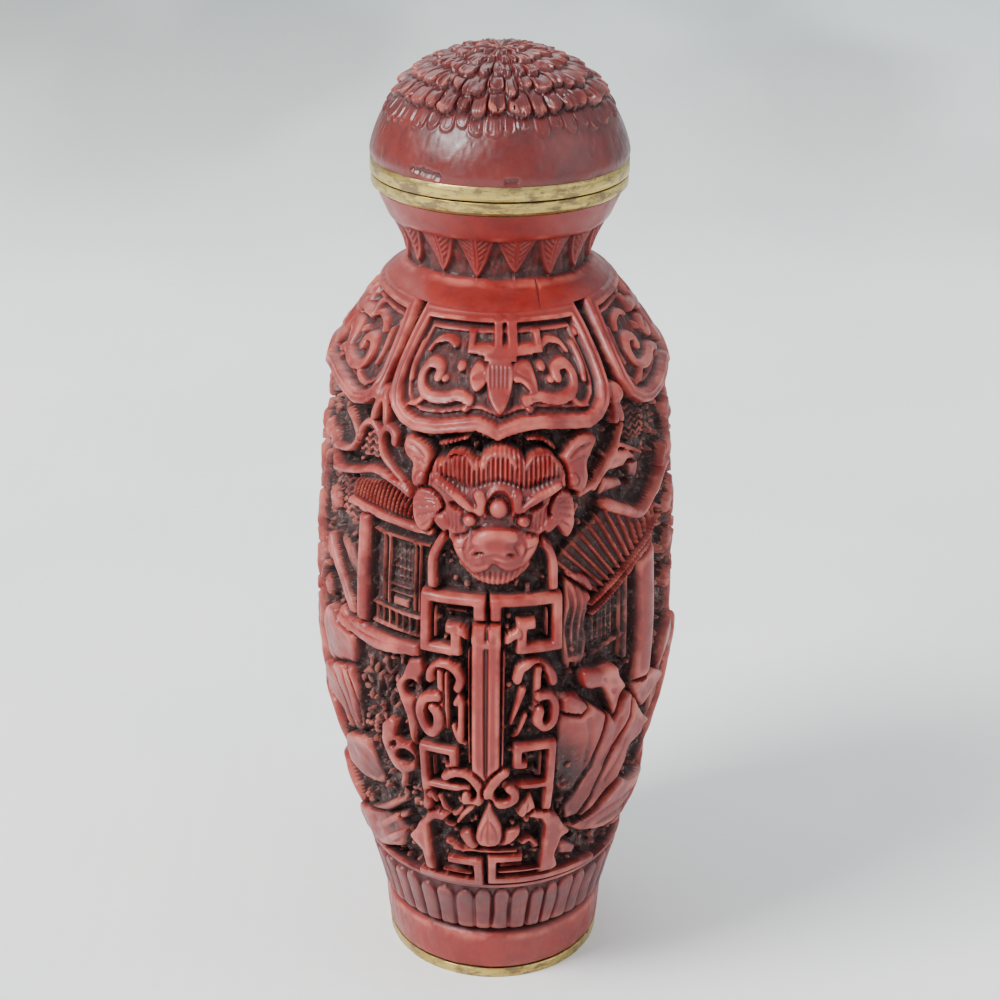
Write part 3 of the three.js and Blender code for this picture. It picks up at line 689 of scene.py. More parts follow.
def strap(fine):
    bar([(-2.9, 35.6), (-2.9, 22.8)], 2.5, -0.35, moat=0.9)
    bar([(-5.3, 36), (-5.3, 23.4)], 1.02, 0.16, edge=0.2)
    bar([(-0.4, 36), (-0.4, 22.6)], 1.02, 0.16, edge=0.2)
    bar([(-8.2, 34.4), (-8.2, 24)], 0.24, -0.15)
    bar([(2.6, 34.4), (2.6, 23.4)], 0.26, -0.15)
    if fine:
        bar([(-2.85, 37.6), (-2.85, 22.8)], 0.12, -0.1)
    line([(-5.6, 23.6), (-4.4, 22.6), (-3, 22.1)], 0.8, 0.15)
    line([(-0.4, 22.8), (-1.8, 21.9), (-3, 21.5)], 0.8, 0.15)


# %% Pendant: hooks beside the strap
def strap_hooks(fine):
    line([(-20.5, 31.6), (-19.8, 32.4), (-16, 33.1), (-12.4, 32.7), (-10.7, 31.9), (-11.6, 31.1)], 0.85,
         0.15, moat=0.8)
    line([(-17.2, 32.2), (-17.2, 27.1)], 0.62, 0.05, smooth=False, moat=0.7)
    line([(-15.2, 32.2), (-15.3, 27.2)], 0.4, -0.05, smooth=False)
    line([(-18.6, 30), (-22.5, 29.6), (-24, 28.4), (-22.8, 27.1), (-20.5, 26.5), (-18.4, 27.2),
          (-18.3, 28.4), (-19.8, 28.9)], 0.95, 0.12, drop=0.25, moat=0.8)
    line([(-12.3, 29.6), (-10.9, 30.2), (-10.6, 29.3), (-11, 26.2)], 0.6, 0.0, moat=0.6)
    line([(-13.2, 27.4), (-11.6, 26.2), (-9.6, 25.9)], 0.5, -0.1)
    line([(6.8, 32), (8, 33), (12, 33.4), (15, 33), (17.5, 32.3), (18, 31.6)], 0.85, 0.15, moat=0.8)
    line([(13.2, 32.8), (13.2, 27.8)], 0.68, 0.05, smooth=False, moat=0.7)
    line([(14, 30.3), (17.5, 30.2), (19, 29.2), (18.5, 27.8), (16, 27.3), (13.8, 28), (14.3, 29)], 0.85,
         0.12, drop=0.25, moat=0.8)
    line([(8.6, 31), (6.8, 29.4), (5, 27.9)], 0.6, -0.1, taper=(1.2, 0.5), moat=0.6)
    line([(9.6, 28.6), (7.4, 27), (5.6, 26.6)], 0.5, -0.15, taper=(1, 0.5))
    if fine:
        groove([(-23, 29), (-23.3, 28.3), (-21.6, 27)], 0.14, 0.2)
        groove([(16, 29.7), (17.9, 29.2), (17.7, 28.1)], 0.14, 0.2)
        hatch([(-14, 30.9), (-12.4, 28.6)], [(-12.6, 31.6), (-11.4, 29.8)], 3, 0.12, 0.2)


# %% Pendant: lower fret
def lower_fret(fine):
    bar([(-23.8, 18), (-23.8, 25), (-13.4, 25), (-13.4, 23.4), (-15, 23.4)], 0.78, BAND, moat=0.9)
    bar([(-23.2, 21.4), (-9.6, 21.4)], 0.7, BAND - 0.03)
    bar([(18.9, 18), (18.9, 25.6), (7.5, 25.6), (7.5, 23.9), (9.4, 23.9)], 0.8, BAND, moat=0.9)
    bar([(4, 21.75), (18.4, 21.75)], 0.7, BAND - 0.03)
    if fine:
        bar([(-20.9, 24.2), (-20.9, 22.2)], 0.24, -0.3)
        bar([(-17.8, 23.6), (-15.6, 23.6)], 0.24, -0.4)
        bar([(15.6, 24.8), (15.6, 22.6)], 0.24, -0.3)
        bar([(10.2, 23.2), (12.8, 23.2)], 0.24, -0.4)
    line([(-16.6, 22.4), (-13, 22.9), (-9, 22.8), (-5.6, 21.9), (-4.3, 20.8), (-6, 20), (-9.5, 20.1),
          (-9.6, 20.7)], 0.82, 0.18, drop=0.22, moat=0.8)
    line([(3.6, 23.2), (0.5, 22.4), (-1.8, 21.2), (-0.5, 20.2), (3, 19.9), (6.5, 20.3), (7, 21),
          (5.2, 21.5)], 0.9, 0.18, drop=0.22, moat=0.8)
    for curl in (
        [(-19.5, 20), (-17, 18.7), (-14, 18.4), (-11.6, 19.1)], [(-8, 19.4), (-11, 18.5), (-13.4, 17.6)],
        [(-21, 18.6), (-18, 17.4), (-15, 17.2)], [(12, 18), (14, 18.6), (17, 17.6)],
        [(-22.4, 20.2), (-20.8, 19.5)],
    ):
        line(curl, 0.6, -0.1, taper=(1, 0.6), drop=0.2, moat=0.5)
    area([(8, 18.8), (9.3, 19.7), (10.5, 20.2), (12.5, 20.9), (14, 20), (15, 18.7), (11.5, 18.2)], 0.02,
         drop=0.25)
    groove([(12, 20.3), (11.6, 18.8)], 0.2, 0.22)
    groove([(10.4, 19.6), (10, 18.8)], 0.14, 0.2)
    groove([(13.4, 19.7), (13.4, 18.8)], 0.14, 0.2)


# %% Pendant: chime and bud above the foot
def chime():
    area([(-28.9, 11), (-28.9, 13.8), (-31.5, 14.3), (-34.3, 15), (-30.5, 16), (-29, 16.8), (-26.5, 17.3),
          (-24, 18.2), (-20, 18.6), (-16, 18.4), (-18.5, 17.7), (-22.5, 17.5), (-25, 16.8), (-25.2, 11)],
         0.1, smooth=False, moat=0.9)
    area([(18.8, 11.4), (18.8, 17.2), (17.5, 18), (12, 18.4), (14.5, 18.9), (20, 18.6), (24, 18),
          (26.5, 16.9), (29.3, 16.2), (29.5, 15.8), (26, 15.5), (24.5, 13.8), (27, 12.3), (24, 11.5)], 0.1,
         smooth=False, moat=0.9)
    bar([(-31.4, 10.95), (-6.1, 10.95), (-6.1, 13.5), (-16.6, 13.5)], 0.85, BAND, moat=0.7)
    bar([(46, 11.2), (-0.6, 11.2), (-0.6, 14), (9.6, 14)], 0.8, BAND, moat=0.7)
    bar([(2.6, 12.35), (21, 12.35)], 0.42, BAND - 0.1)
    bar([(-21, 12.0), (-9.6, 12.0)], 0.36, BAND - 0.1)
    bar([(3.6, 13.1), (11, 13.1)], 0.34, BAND - 0.2)
    bar([(-15.4, 14.75), (8.6, 14.75)], 0.32, -0.1)
    groove([(-17.2, 13.45), (-9.5, 13.45)], 0.16, 0.22, smooth=False)
    area([(-12.9, 16.6), (-12, 15.9), (-9.5, 15.1), (-6, 15.2), (-7, 16.3), (-9, 17)], 0.0, drop=0.2,
         moat=0.6)
    area([(3.2, 16.4), (3.6, 16.9), (9.6, 17.3), (9.2, 16.4), (6, 15.6), (3, 15.4)], 0.0, drop=0.2,
         moat=0.6)
    bud = curve([(-6.8, 16.2), (-6, 17.2), (-4.2, 18.5), (-2.6, 19.7), (-1.5, 20.2), (-0.3, 19.3),
                 (1.6, 18.2), (3, 17.2), (2.8, 16), (0.5, 15.4), (-4.5, 15.4)], closed=True)
    w = window_round(sheet, bud, 1)
    inside = in_area(w, bud)
    lay(w, inside, 0.05 + 0.28 * soften(inside / 1.1), drop=0.2, moat=0.9)
    groove([(-2, 19.2), (-2, 16)], 0.12, 0.22)
    groove([(-2.4, 18.2), (-4, 17.2), (-4.6, 16)], 0.12, 0.2)
    groove([(-1.4, 18.2), (0.6, 17.2), (1, 16)], 0.12, 0.2)
    line([(-18, 15.4), (-15, 15.2), (-12, 14.7)], 0.5, -0.1)
    line([(11, 15.6), (13.5, 15.9), (16.4, 15.2)], 0.5, -0.1)


def pendant(fine):
    upper_fret(fine)
    strap_hooks(fine)
    strap(fine)
    lower_fret(fine)
    chime()

# %% [markdown]
# Either side of the pendant is a landscape: a pavilion among rocks on the left, a larger one seen from
# its corner on the right, and pines between front and back. It is carved deeper than the pendant, in
# steps: the wall behind, then lattice and rails, posts, columns, roofs, and rocks that lean out at one
# edge. A facet is an outline whose height rises from one point to another, like a tilted chip of rock.

# %% Landscape strokes
FRONT_DEGREE = 0.26  # millimetres that one degree spans on the broad part of the front
WAVE_DEGREE = 0.27
PINE_DEGREE = 0.33
PIERCED = -1.45  # the floor of a hole through a rock


def facet(outline, low_at, high_at, low, high, smooth=False, **finish):
    outline = curve(outline, closed=True) if smooth else outline
    w = window_round(sheet, outline, REACH)
    vt, vz = high_at[0] - low_at[0], high_at[1] - low_at[1]
    rise_along = (w.t - low_at[0]) * vt * FRONT_DEGREE**2 + (w.z - low_at[1]) * vz
    share = rise_along / ((vt * FRONT_DEGREE) ** 2 + vz**2)
    bumpy = 0.07 * uneven(w.true_t, w.z, 1.6, 201) + 0.04 * uneven(w.true_t, w.z, 0.7, 202)
    finish = {"drop": 0.18, "edge": 0.35, "moat": 0.8, **finish}
    lay(w, in_area(w, outline), low + (high - low) * soften(share) + bumpy, **finish)


def floor_area(outline, level, rough=0.0):
    """Brings everything inside an outline down or up to one level."""
    w = window_round(sheet, outline, 0.5)
    inside = in_area(w, outline)
    wanted = level + rough * (uneven(w.true_t, w.z, 0.5, 203) + 0.6 * uneven(w.true_t, w.z, 0.28, 204))
    relief = w.get()
    w.put(relief + soften(inside / 0.25) * (wanted - relief))


def wavy_ground(outline, lean, level=-1.0, pitch=0.62):
    """Rows of small waves, the cut pattern that stands for water and sky."""
    w = window_round(sheet, outline, 0.5)
    inside = in_area(w, outline)
    u, v = w.t * WAVE_DEGREE, w.z - lean * w.t * WAVE_DEGREE
    ripple = 0.16 * np.sin(u * 5.2 + 2 * uneven(w.true_t, w.z, 2.2, 205))
    row = np.abs(((v + ripple) / pitch) % 1 - 0.5) * 2
    relief = w.get()
    wanted = level + 0.42 * soften(1.25 - 1.6 * row) + 0.1 * uneven(w.true_t, w.z, 0.4, 206)
    w.put(relief + soften(inside / 0.25) * (wanted - relief))


def tuft(centre, size, top, seed, count=9):
    """A pine cluster: a fan of short needles on a low mound."""
    dome(centre, size, size * 0.72, top - 0.35, 0.25)
    random = np.random.default_rng(seed)
    start = random.uniform(0, 360)
    for i in range(count):
        bearing = math.radians(start + i * 360 / count + random.uniform(-8, 8))
        reach = size * random.uniform(0.85, 1.1)
        tip = (centre[0] + reach * math.cos(bearing) / PINE_DEGREE,
               centre[1] + reach * 0.8 * math.sin(bearing))
        line([centre, tip], 0.3, top, smooth=False, taper=(1, 0.6), drop=0.15, edge=0.15)


def leaves(places, top, size=0.5):
    """Rough foliage: many small rounded leaves, each its own lean."""
    for number, (t, z) in enumerate(places):
        lean = (number * 67) % 180 - 90
        dome((t, z), size, size * 0.55, top - 0.3 + 0.12 * math.sin(number * 1.9), 0.3, lean=lean)


def scattered(t_low, t_high, z_low, z_high, count, seed):
    random = np.random.default_rng(seed)
    return list(zip(random.uniform(t_low, t_high, count), random.uniform(z_low, z_high, count)))


print("rock holes go down to", PIERCED, "mm")

# %% Left pavilion
def left_pavilion(fine):
    floor_area([(-44, 34.4), (-20, 34.4), (-20, 44), (-44, 44)], -1.35, 0.12)
    wavy_ground([(-62, 42.2), (-50, 41.6), (-50, 44.6), (-56, 46.2), (-62, 46)], 0.28)
    wavy_ground([(-55, 48), (-42, 48.6), (-36, 48.2), (-40.5, 50), (-47, 51.4)], 0.25, level=-0.95)
    for t in (-38.9, -36.6, -26.8, -25.0):
        bar([(t, 42.6), (t, 37)], 0.3, -0.55)
    if fine:
        for t in np.arange(-35, -28, 1.7):
            bar([(t, 42.4), (t, 39)], 0.13, -0.95)
        for z in np.arange(39.4, 42.6, 0.72):
            bar([(-35.6, z), (-28.4, z)], 0.13, -0.95)
    bar([(-36, 38.6), (-28, 38.6)], 0.24, -0.62)
    bar([(-36, 38.0), (-28, 38.0)], 0.22, -0.66)
    area([(-35, 36.9), (-29, 36.9), (-29, 37.7), (-35, 37.7)], -0.7, smooth=False)
    bar([(-43, 42.8), (-22, 42.8)], 0.3, -0.3)
    bar([(-43, 36.5), (-24, 36.4)], 0.3, -0.42)
    bar([(-43, 34.9), (-24, 34.8)], 0.3, -0.42)
    for t in np.arange(-41.5, -24.5, 2.6 if fine else 5.2):
        bar([(t, 36.3), (t, 35)], 0.22, -0.55)
    column = [(-46.9, 43.8), (-47.1, 39), (-46.9, 34.2)]
    w = window_round(sheet, column, 1.4)
    gap, _ = along(w, column)
    lay(w, 0.78 - gap, 0.06 - 0.5 * np.clip(gap / 0.78, 0, 1) ** 2, drop=0.1, moat=1.2)
    area([(-58.5, 33.2), (-50, 32.7), (-40, 32.5), (-31, 32.9), (-24, 33.3), (-24, 34.3), (-40, 34.2),
          (-50, 34.3), (-58, 34.6)], -0.05, smooth=False, moat=0.9)
    groove([(-57, 33.9), (-45, 33.5), (-25, 33.8)], 0.16, 0.22)
    facet([(-68, 39.8), (-66, 40), (-60, 37.8), (-52, 35.2), (-50.5, 34.4), (-54, 34.3), (-62, 36.7)],
          (-60, 36), (-58, 38.5), -0.35, 0.0)
    facet([(-62, 40.4), (-55, 40), (-50.8, 38.6), (-50.6, 36.4), (-54, 37.4), (-60, 39.3)], (-56, 37),
          (-56, 40.4), -1.0, -0.55)
    left_roof(fine)


def left_roof(fine):
    area([(-54, 44.6), (-21, 44.5), (-24, 46.8), (-30, 47.3), (-42, 47.9), (-52, 47.2)], -0.75,
         smooth=False, moat=0.4)
    pitch = 1.55 if fine else 2.4
    for t in np.arange(-52.5, -25.5, pitch):
        rise = 2.2 - 0.9 * abs(t + 40) / 14
        line([(t, 44.8), (t + 0.9, 45 + rise * 0.5), (t + 2.2, 45 + rise)], 0.2, 0.05, smooth=False,
             drop=0.1)
    line([(-53.5, 44.3), (-45, 44.35), (-33, 44.2), (-21, 44.15)], 0.72, 0.08, drop=0.2, moat=0.9)
    groove([(-52, 44.2), (-45, 44.22), (-33, 44.08), (-22, 44.0)], 0.15, 0.18)
    line([(-64, 46.0), (-57, 46.5), (-50, 47.2), (-42, 47.95), (-33, 47.5), (-28, 46.9)], 0.62, 0.2,
         moat=0.7)
    line([(-64, 46.0), (-66.5, 46.9)], 0.55, 0.15, taper=(1, 0.5))
    line([(-41, 50.8), (-46, 51.6), (-50, 50.9), (-53, 49.2), (-58, 48.2), (-66, 47.6)], 0.6, 0.0, moat=0.6)
    line([(-52, 49.8), (-56, 50.8), (-60, 51.3)], 0.5, -0.1, moat=0.5)


# %% Right pavilion
def right_pavilion(fine):
    floor_area([(31, 32.6), (50, 31), (50.4, 39.3), (32, 36.2)], -1.4, 0.12)
    wavy_ground([(44, 53.4), (46, 50.2), (52, 49.3), (60, 49.4), (63, 52.6), (54, 53)], -0.2, level=-1.15,
                pitch=0.55)
    if fine:
        for t in np.arange(33.6, 43, 1.9):
            bar([(t, 37.2), (t, 33.6)], 0.14, -0.95)
        for z in np.arange(34, 37.4, 0.75):
            bar([(33, z), (43, z)], 0.14, -0.95)
    bar([(44, 38.4), (44, 31.8)], 0.3, -0.6)
    bar([(47.1, 38.8), (47.1, 31.4)], 0.75, -0.7)
    groove([(46.4, 38), (46.4, 32)], 0.2, 0.16, smooth=False)
    groove([(47.8, 38), (47.8, 32)], 0.2, 0.16, smooth=False)
    bar([(32, 32.9), (45, 33.6)], 0.3, -0.5)
    bar([(40, 29.8), (52, 31.2)], 0.28, -0.5)
    column = [(55.6, 40.2), (55.8, 34), (55.2, 28.2)]
    w = window_round(sheet, column, 2.4)
    gap, _ = along(w, column)
    tilt = 0.12 * np.clip((w.t - 55.5) / 4, -1, 1)
    lay(w, 1.42 - gap, 0.12 + tilt - 0.45 * np.clip(gap / 1.42, 0, 1) ** 2, drop=0.12, moat=1.3)
    facet([(50, 28.4), (56, 28.2), (61, 28.6), (65, 28), (71, 26.9), (64, 26.2), (58, 25.2), (54, 26.4)],
          (54, 26.4), (66, 27.6), -0.2, 0.2)
    right_roof(fine)
    hut_roofs()


def right_roof(fine):
    upper = [(17.5, 41.6), (27, 43.6), (37, 45.2), (52, 43.6), (62, 43.2)]
    lower = [(33, 38.2), (47, 40.3), (61, 42.3)]
    slab = upper + lower[::-1]
    area(slab, -0.8, smooth=False, moat=0.4)
    high, low = curve(upper, parts=10), curve(lower, parts=14)
    count = 13 if fine else 8
    for i in range(count):
        share = (i + 0.4) / count
        top = [np.interp(share, np.linspace(0, 1, len(high)), high[:, k]) for k in (0, 1)]
        end = [np.interp(share, np.linspace(0, 1, len(low)), low[:, k]) for k in (0, 1)]
        line([top, end], 0.2, 0.08, smooth=False, drop=0.1)
    line([(31.5, 36.6), (45, 38.7), (59.5, 40.9)], 0.34, 0.0, moat=0.8)
    line([(31, 37.5), (45, 39.5), (60, 41.5), (66, 41.9)], 0.34, 0.1, moat=0.8)
    ridge = [(36.5, 45.7), (44, 44.6), (52, 43.6), (60, 44.5), (66.5, 45.7), (71.5, 45.9)]
    line(ridge, 0.95, 0.3, drop=0.25, taper=(1.1, 0.7), moat=0.8)
    groove([(38, 45.3), (44, 44.4), (52, 43.4), (60, 44.3)], 0.18, 0.2)
    line([(66, 46.2), (69, 46.9), (70, 47.3)], 0.5, 0.2)
    line([(61.5, 43.2), (65, 42.6), (69, 41.9)], 0.4, 0.05)


def hut_roofs():
    facet([(33, 48.4), (41, 49.9), (47, 49.4), (52.5, 48.3), (52.8, 47.3), (46, 48), (39, 48.2),
           (34, 46.9)], (40, 47), (42, 50), -0.45, 0.05)
    facet([(36, 47.9), (44, 47.2), (47, 46.2), (40, 46.4), (35, 46.2)], (40, 46), (41, 48), -0.7, -0.2)
    facet([(47, 48.2), (53, 47.9), (53.8, 46.2), (49, 46.8)], (49, 46), (51, 48.2), -0.8, -0.3)
    line([(32, 47.2), (37, 49.0), (42, 50.1), (47, 49.6), (53.4, 48.6)], 0.4, 0.12)


# %% Rocks
def left_rocks(fine):
    facet([(-32.5, 30.3), (-30, 31.2), (-27, 33.4), (-24, 33.5), (-22.5, 32), (-24.5, 31.3), (-23.8, 29.6),
           (-25, 28.5), (-26.3, 26), (-26.8, 24.5), (-28, 24.8), (-29, 27.5), (-30.5, 28.8)], (-24, 30),
          (-31, 30), -0.2, 0.12)
    hole((-26.9, 30.2), 0.72, 0.78, PIERCED, lean=30)
    facet([(-39.5, 24.5), (-39, 25.9), (-35.5, 26.9), (-33, 26.6), (-34, 25.2), (-31, 24.7), (-28.5, 25),
           (-27, 24), (-27.5, 22.3), (-29, 21.9), (-31.5, 21.5), (-33, 20.2), (-35.5, 19.4), (-35.3, 20.2),
           (-34, 21.3), (-36.5, 21.5), (-38.5, 22.7)], (-30, 22), (-38, 25), -0.25, 0.15)
    hole((-31.6, 23.3), 1.05, 0.72, PIERCED, lean=20)
    hole((-35, 24.3), 0.5, 0.26, -0.7, lean=40)
    leaves(scattered(-40, -25, 27.5, 32.6, 46 if fine else 22, 211), -0.75, 0.42)
    leaves(scattered(-37, -27, 17.8, 20.5, 14, 212), -0.8, 0.4)
    facet([(-71, 27.6), (-69, 31), (-66, 33.4), (-60, 34), (-52, 33), (-51, 31), (-53, 29.6), (-58, 29),
           (-64, 28.2)], (-56, 29), (-66, 33), -0.35, 0.3, smooth=True)
    facet([(-66, 27.9), (-59, 28.9), (-52.5, 29.4), (-51.5, 27), (-53, 24), (-55.4, 22.6), (-60, 23.4),
           (-64, 25)], (-53, 24), (-62, 29), -0.65, 0.1, smooth=True)
    facet([(-72, 27.4), (-66, 27.6), (-63, 25), (-60, 22.6), (-66, 23.4), (-74, 24.6)], (-63, 24),
          (-73, 26.5), -0.5, 0.15, smooth=True)
    facet([(-66, 18.6), (-63, 21.6), (-56, 22.6), (-49, 23), (-46, 20.8), (-47, 18.8), (-54, 18),
           (-61, 17.8)], (-48, 19), (-60, 22), -0.75, 0.05, smooth=True)
    facet([(-58, 29.2), (-55, 28.9), (-53.4, 26), (-54.6, 23.6), (-57, 25.6)], (-54, 25), (-57, 29), -0.35,
          0.0)
    leaves(scattered(-50, -41, 20, 33, 26 if fine else 12, 213), -1.0, 0.5)
    for top in (17.6, 16.1, 14.4):
        line([(-66, top - 4.2), (-52, top - 2.2), (-42, top - 0.4), (-35, top + 0.8)], 1.1,
             -0.35 + (17.6 - top) * 0.1, taper=(1.1, 0.5), drop=0.35, edge=0.5, moat=0.5)
    facet([(-72, 13.6), (-60, 14.4), (-48, 15.6), (-40, 16.4), (-36, 15), (-42, 12.6), (-56, 11.2),
           (-72, 11)], (-50, 15.6), (-56, 11.4), -0.6, 0.02)


def right_rocks():
    facet([(20.6, 29.4), (24, 30.1), (30, 28.9), (39, 26.9), (38, 24.5), (36, 22), (30, 19.6), (25.5, 19.9),
           (22.5, 21), (21, 25)], (24, 22.5), (38, 26.4), -0.95, 0.12)
    facet([(39, 27.1), (42.5, 26.3), (46, 28.3), (50, 27.7), (49.6, 25.8), (47, 24.6), (44, 23), (42, 21),
           (39, 18.5), (34, 17), (28, 17), (26.5, 18.7), (30, 19.4), (36, 22), (38, 24.5)], (34, 20),
          (48, 26.4), -0.55, 0.2)
    facet([(49.8, 27.7), (53, 26.2), (57, 24.9), (63.8, 23.3), (58, 23.4), (58.8, 22.7), (52.6, 22.3),
           (52, 20), (52.4, 18.8), (46, 18.3), (40, 17), (34, 16.7), (39, 18.4), (42, 21), (44.5, 23.2),
           (49.6, 25.6)], (42, 18.6), (56, 24.8), -0.45, 0.28)
    facet([(27.5, 31.9), (34, 31.6), (40, 31.5), (43, 30), (47, 28.7), (44.3, 28.2), (42, 26.4), (39.5, 28),
           (36, 29.6), (29, 30.2)], (38, 28), (38, 31.5), -0.15, 0.32, smooth=True)
    facet([(19.5, 30.3), (27, 29.9), (30.5, 28.4), (28, 27.9), (20.5, 28.6)], (24, 28.4), (24, 30.4), -0.7,
          -0.2)
    for points in ([(31, 27.2), (33, 25), (33.4, 22.6)], [(44, 26), (43, 23.9), (40.6, 21.8)],
                   [(49, 23.4), (47.4, 21.6), (44.4, 19.7)], [(35.5, 30.6), (38, 29.4), (40.4, 28.9)]):
        groove(points, 0.2, 0.5)
    facet([(29, 16.3), (36, 16.2), (46, 17.7), (53, 18.9), (60, 17.8), (72, 16.8), (72, 12.6), (60, 13.3),
           (52, 13.7), (44, 14.4), (36, 15.1)], (50, 13.4), (52, 18.4), -0.55, 0.1)
    for top in (16.3, 14.9):
        groove([(34, top - 0.4), (46, top), (58, top - 0.2), (70, top - 0.9)], 0.2, 0.5)
    facet([(24.5, 15.1), (30, 14.6), (36, 13.6), (35, 12.7), (28, 13.3)], (30, 13), (28, 15), -0.5, -0.05)
    trunk = [(21.8, 41), (23.2, 40.6), (28.5, 40.2), (31, 39.2), (30.4, 37.4), (29.6, 35.6), (30.4, 34.2),
             (29, 32.4), (25, 32.6), (22, 33.2)]
    facet(trunk, (22, 36), (29, 38.6), -0.7, -0.05, smooth=True)
    for shift in (0, 2.6, 5):
        groove([(22.6 + shift, 39.6), (24.4 + shift * 0.9, 37.6), (23.4 + shift, 35.4),
                (24.6 + shift * 0.7, 33.4)], 0.35, 0.42)
    leaves(scattered(23, 31, 31.6, 34, 10, 221), -0.7, 0.36)
    leaves(scattered(22, 30, 17, 20, 9, 222), -0.9, 0.4)


# %% Pines at the sides
def side_pines(fine):
    """The landscape on the narrow faces, in degrees from the middle of the face."""
    facet([(-24, 12), (-12, 11.2), (10, 11), (24, 12.2), (20, 15.8), (6, 17.2), (-8, 16), (-20, 16.6)],
          (0, 11), (0, 17), -0.6, 0.05)
    facet([(-16, 17.4), (-2, 17.6), (4, 22), (2, 28), (-5, 30.5), (-12, 27.6), (-17, 22)], (-2, 20),
          (-12, 28), -0.45, 0.2)
    facet([(3, 17.8), (17, 17.6), (20, 22), (15, 25.4), (7, 24.6), (4.5, 21)], (6, 18.6), (16, 24.6), -0.6,
          0.12)
    facet([(-24, 22.6), (-16, 24), (-12.5, 28.8), (-16, 31.6), (-22, 30.6)], (-14, 26), (-22, 30), -0.5,
          0.1)
    for points in ([(-10, 28), (-8, 23), (-10, 18.6)], [(-3, 28.6), (-1.6, 24), (-3, 19)],
                   [(9, 23.6), (11, 18.8)]):
        groove(points, 0.3, 0.6)
    trunk = [(8, 24), (5, 28), (8, 33), (3.6, 38), (6, 43), (2, 48)]
    w = window_round(sheet, curve(trunk), 1.6)
    gap, share = along(w, curve(trunk))
    lay(w, 0.95 - 0.35 * share - gap, 0.0 + 0.1 * uneven(w.true_t, w.z, 0.7, 231), drop=0.4, edge=0.6,
        moat=0.9)
    for points in ([(7, 33), (14, 36), (20, 36.6)], [(4.4, 37), (-4, 39.6), (-11, 40)],
                   [(5.6, 42), (12, 45.6), (18, 46.4)],
                   [(3, 46), (-5, 48), (-12, 47.6)]):
        line(points, 0.55, -0.2, taper=(1.2, 0.5), moat=0.5)
    for number, (t, z) in enumerate(((16, 38), (21.5, 38.4), (18, 34.6), (-7.5, 41.6), (-13.5, 41.4),
                                     (-11, 37.8),
                                     (13.6, 48), (19.5, 47.8), (-4.6, 50), (-11.5, 49.8), (-16, 46.4),
                                     (3, 50.6),
                                     (-17.5, 35.2), (22.5, 43), (-3.5, 34.4))):
        tuft((t, z), 1.35 if number % 2 else 1.15, -0.05 - 0.12 * (number % 3), 240 + number)
    leaves(scattered(-24, 24, 31, 51, 40 if fine else 30, 241), -0.95, 0.45)


def landscape(fine):
    left_rocks(fine)
    right_rocks()
    left_pavilion(fine)
    right_pavilion(fine)


# %% [markdown]
# Now the whole wall is carved, from the back to the front of the picture: pines and rocks, pavilions,
# pendants, masks, and the collars last, since each hides part of what was cut before it.

# %% Carving the wall
for turn in (91, 271):
    sheet.turn = turn
    side_pines(fine=False)
for turn in (180, 0):
    sheet.turn = turn
    landscape(fine=turn == 0)
    pendant(fine=turn == 0)
    mask(fine=turn == 0)
for turn, stretch in ((91.5, 1.09), (271.5, 1.09), (0, 1.0), (180, 1.0)):
    sheet.turn, sheet.stretch = turn, stretch
    collar()
sheet.turn, sheet.stretch = 0.0, 1.0
print("carved; share above the ground:", (sheet.relief > -1).mean().round(2), "highest",
      sheet.relief.max().round(2))

# %% [markdown]
# The foot of the body is a band of round flutes, like a ring of petals standing on the rim. Each flute is
# a rounded lobe, and the valleys between are cut sharp. A dark crease runs right round under them.

# %% Flutes
FLUTE_COUNT = 42
FLUTE_CROWN = 9.7
FLUTE_FLOOR = -0.55
LEDGE_HEIGHT = 10.4
UNDER_LEDGE = 10.2


def flutes():
    w = sheet.band(FOOT_LINE, 11)
    pitch = 360 / FLUTE_COUNT
    wander = 1.7 * uneven(w.true_t, w.z * 0, 5, 31) + 0.9 * uneven(w.true_t, w.z, 2.4, 34)
    lobe = (w.t + wander + 1.5) / pitch
    across = 2 * np.abs(lobe - np.floor(lobe) - 0.5)
    crown = FLUTE_CROWN - 1.0 * across**2.6 + 0.35 * uneven(w.true_t, w.z * 0, 2.2, 32)
    inside = np.minimum(crown - w.z, w.z - FOOT_LINE - 0.25)
    sink(w, UNDER_LEDGE - w.z, FLUTE_FLOOR, wall=0.3)
    fill = 0.25 * uneven(w.true_t, w.z, 2.4, 33)
    w.put(np.where(w.z < 10.6, np.maximum(w.get(), -0.6 + 0.12 * fill), w.get()))
    round_top = 0.06 - 0.22 * across**2.5 - 0.12 * np.clip((w.z - 5) / 5, 0, 1)
    lay(w, inside, round_top, drop=0.2, edge=0.45)
    cut(w, (1 - across) * pitch / 2 * w.scale, 0.26 + fill, 0.3, mask=soften((crown + 0.2 - w.z) / 0.4))
    cut(w, across * pitch / 2 * w.scale, np.maximum(fill, 0) * 0.5, 0.24,
        mask=soften((crown - 0.5 - w.z) / 0.4))
    ledge = 0.3 - np.abs(w.z - LEDGE_HEIGHT)
    lay(w, ledge, -0.1, drop=0.2)
    sink(w, FOOT_LINE + 0.18 - w.z, -1.1, wall=0.18)


flutes()
print("flutes carved")

# %% [markdown]
# Handling has taken the sharpness off the real carving. Each point of the finished sheet is moved a
# quarter of the way towards the average of its neighbours, which softens every edge a little and keeps
# the forms. A bevel would do the same on a box, but this surface has no single edges to pick.

# %% Worn edges
WEAR = 0.25


def worn(relief):
    return relief * (1 - WEAR) + blur(relief, 1, 1) * WEAR


sheet.relief = worn(sheet.relief)
print("sheet finished, from", sheet.relief.min().round(2), "to", sheet.relief.max().round(2), "mm")

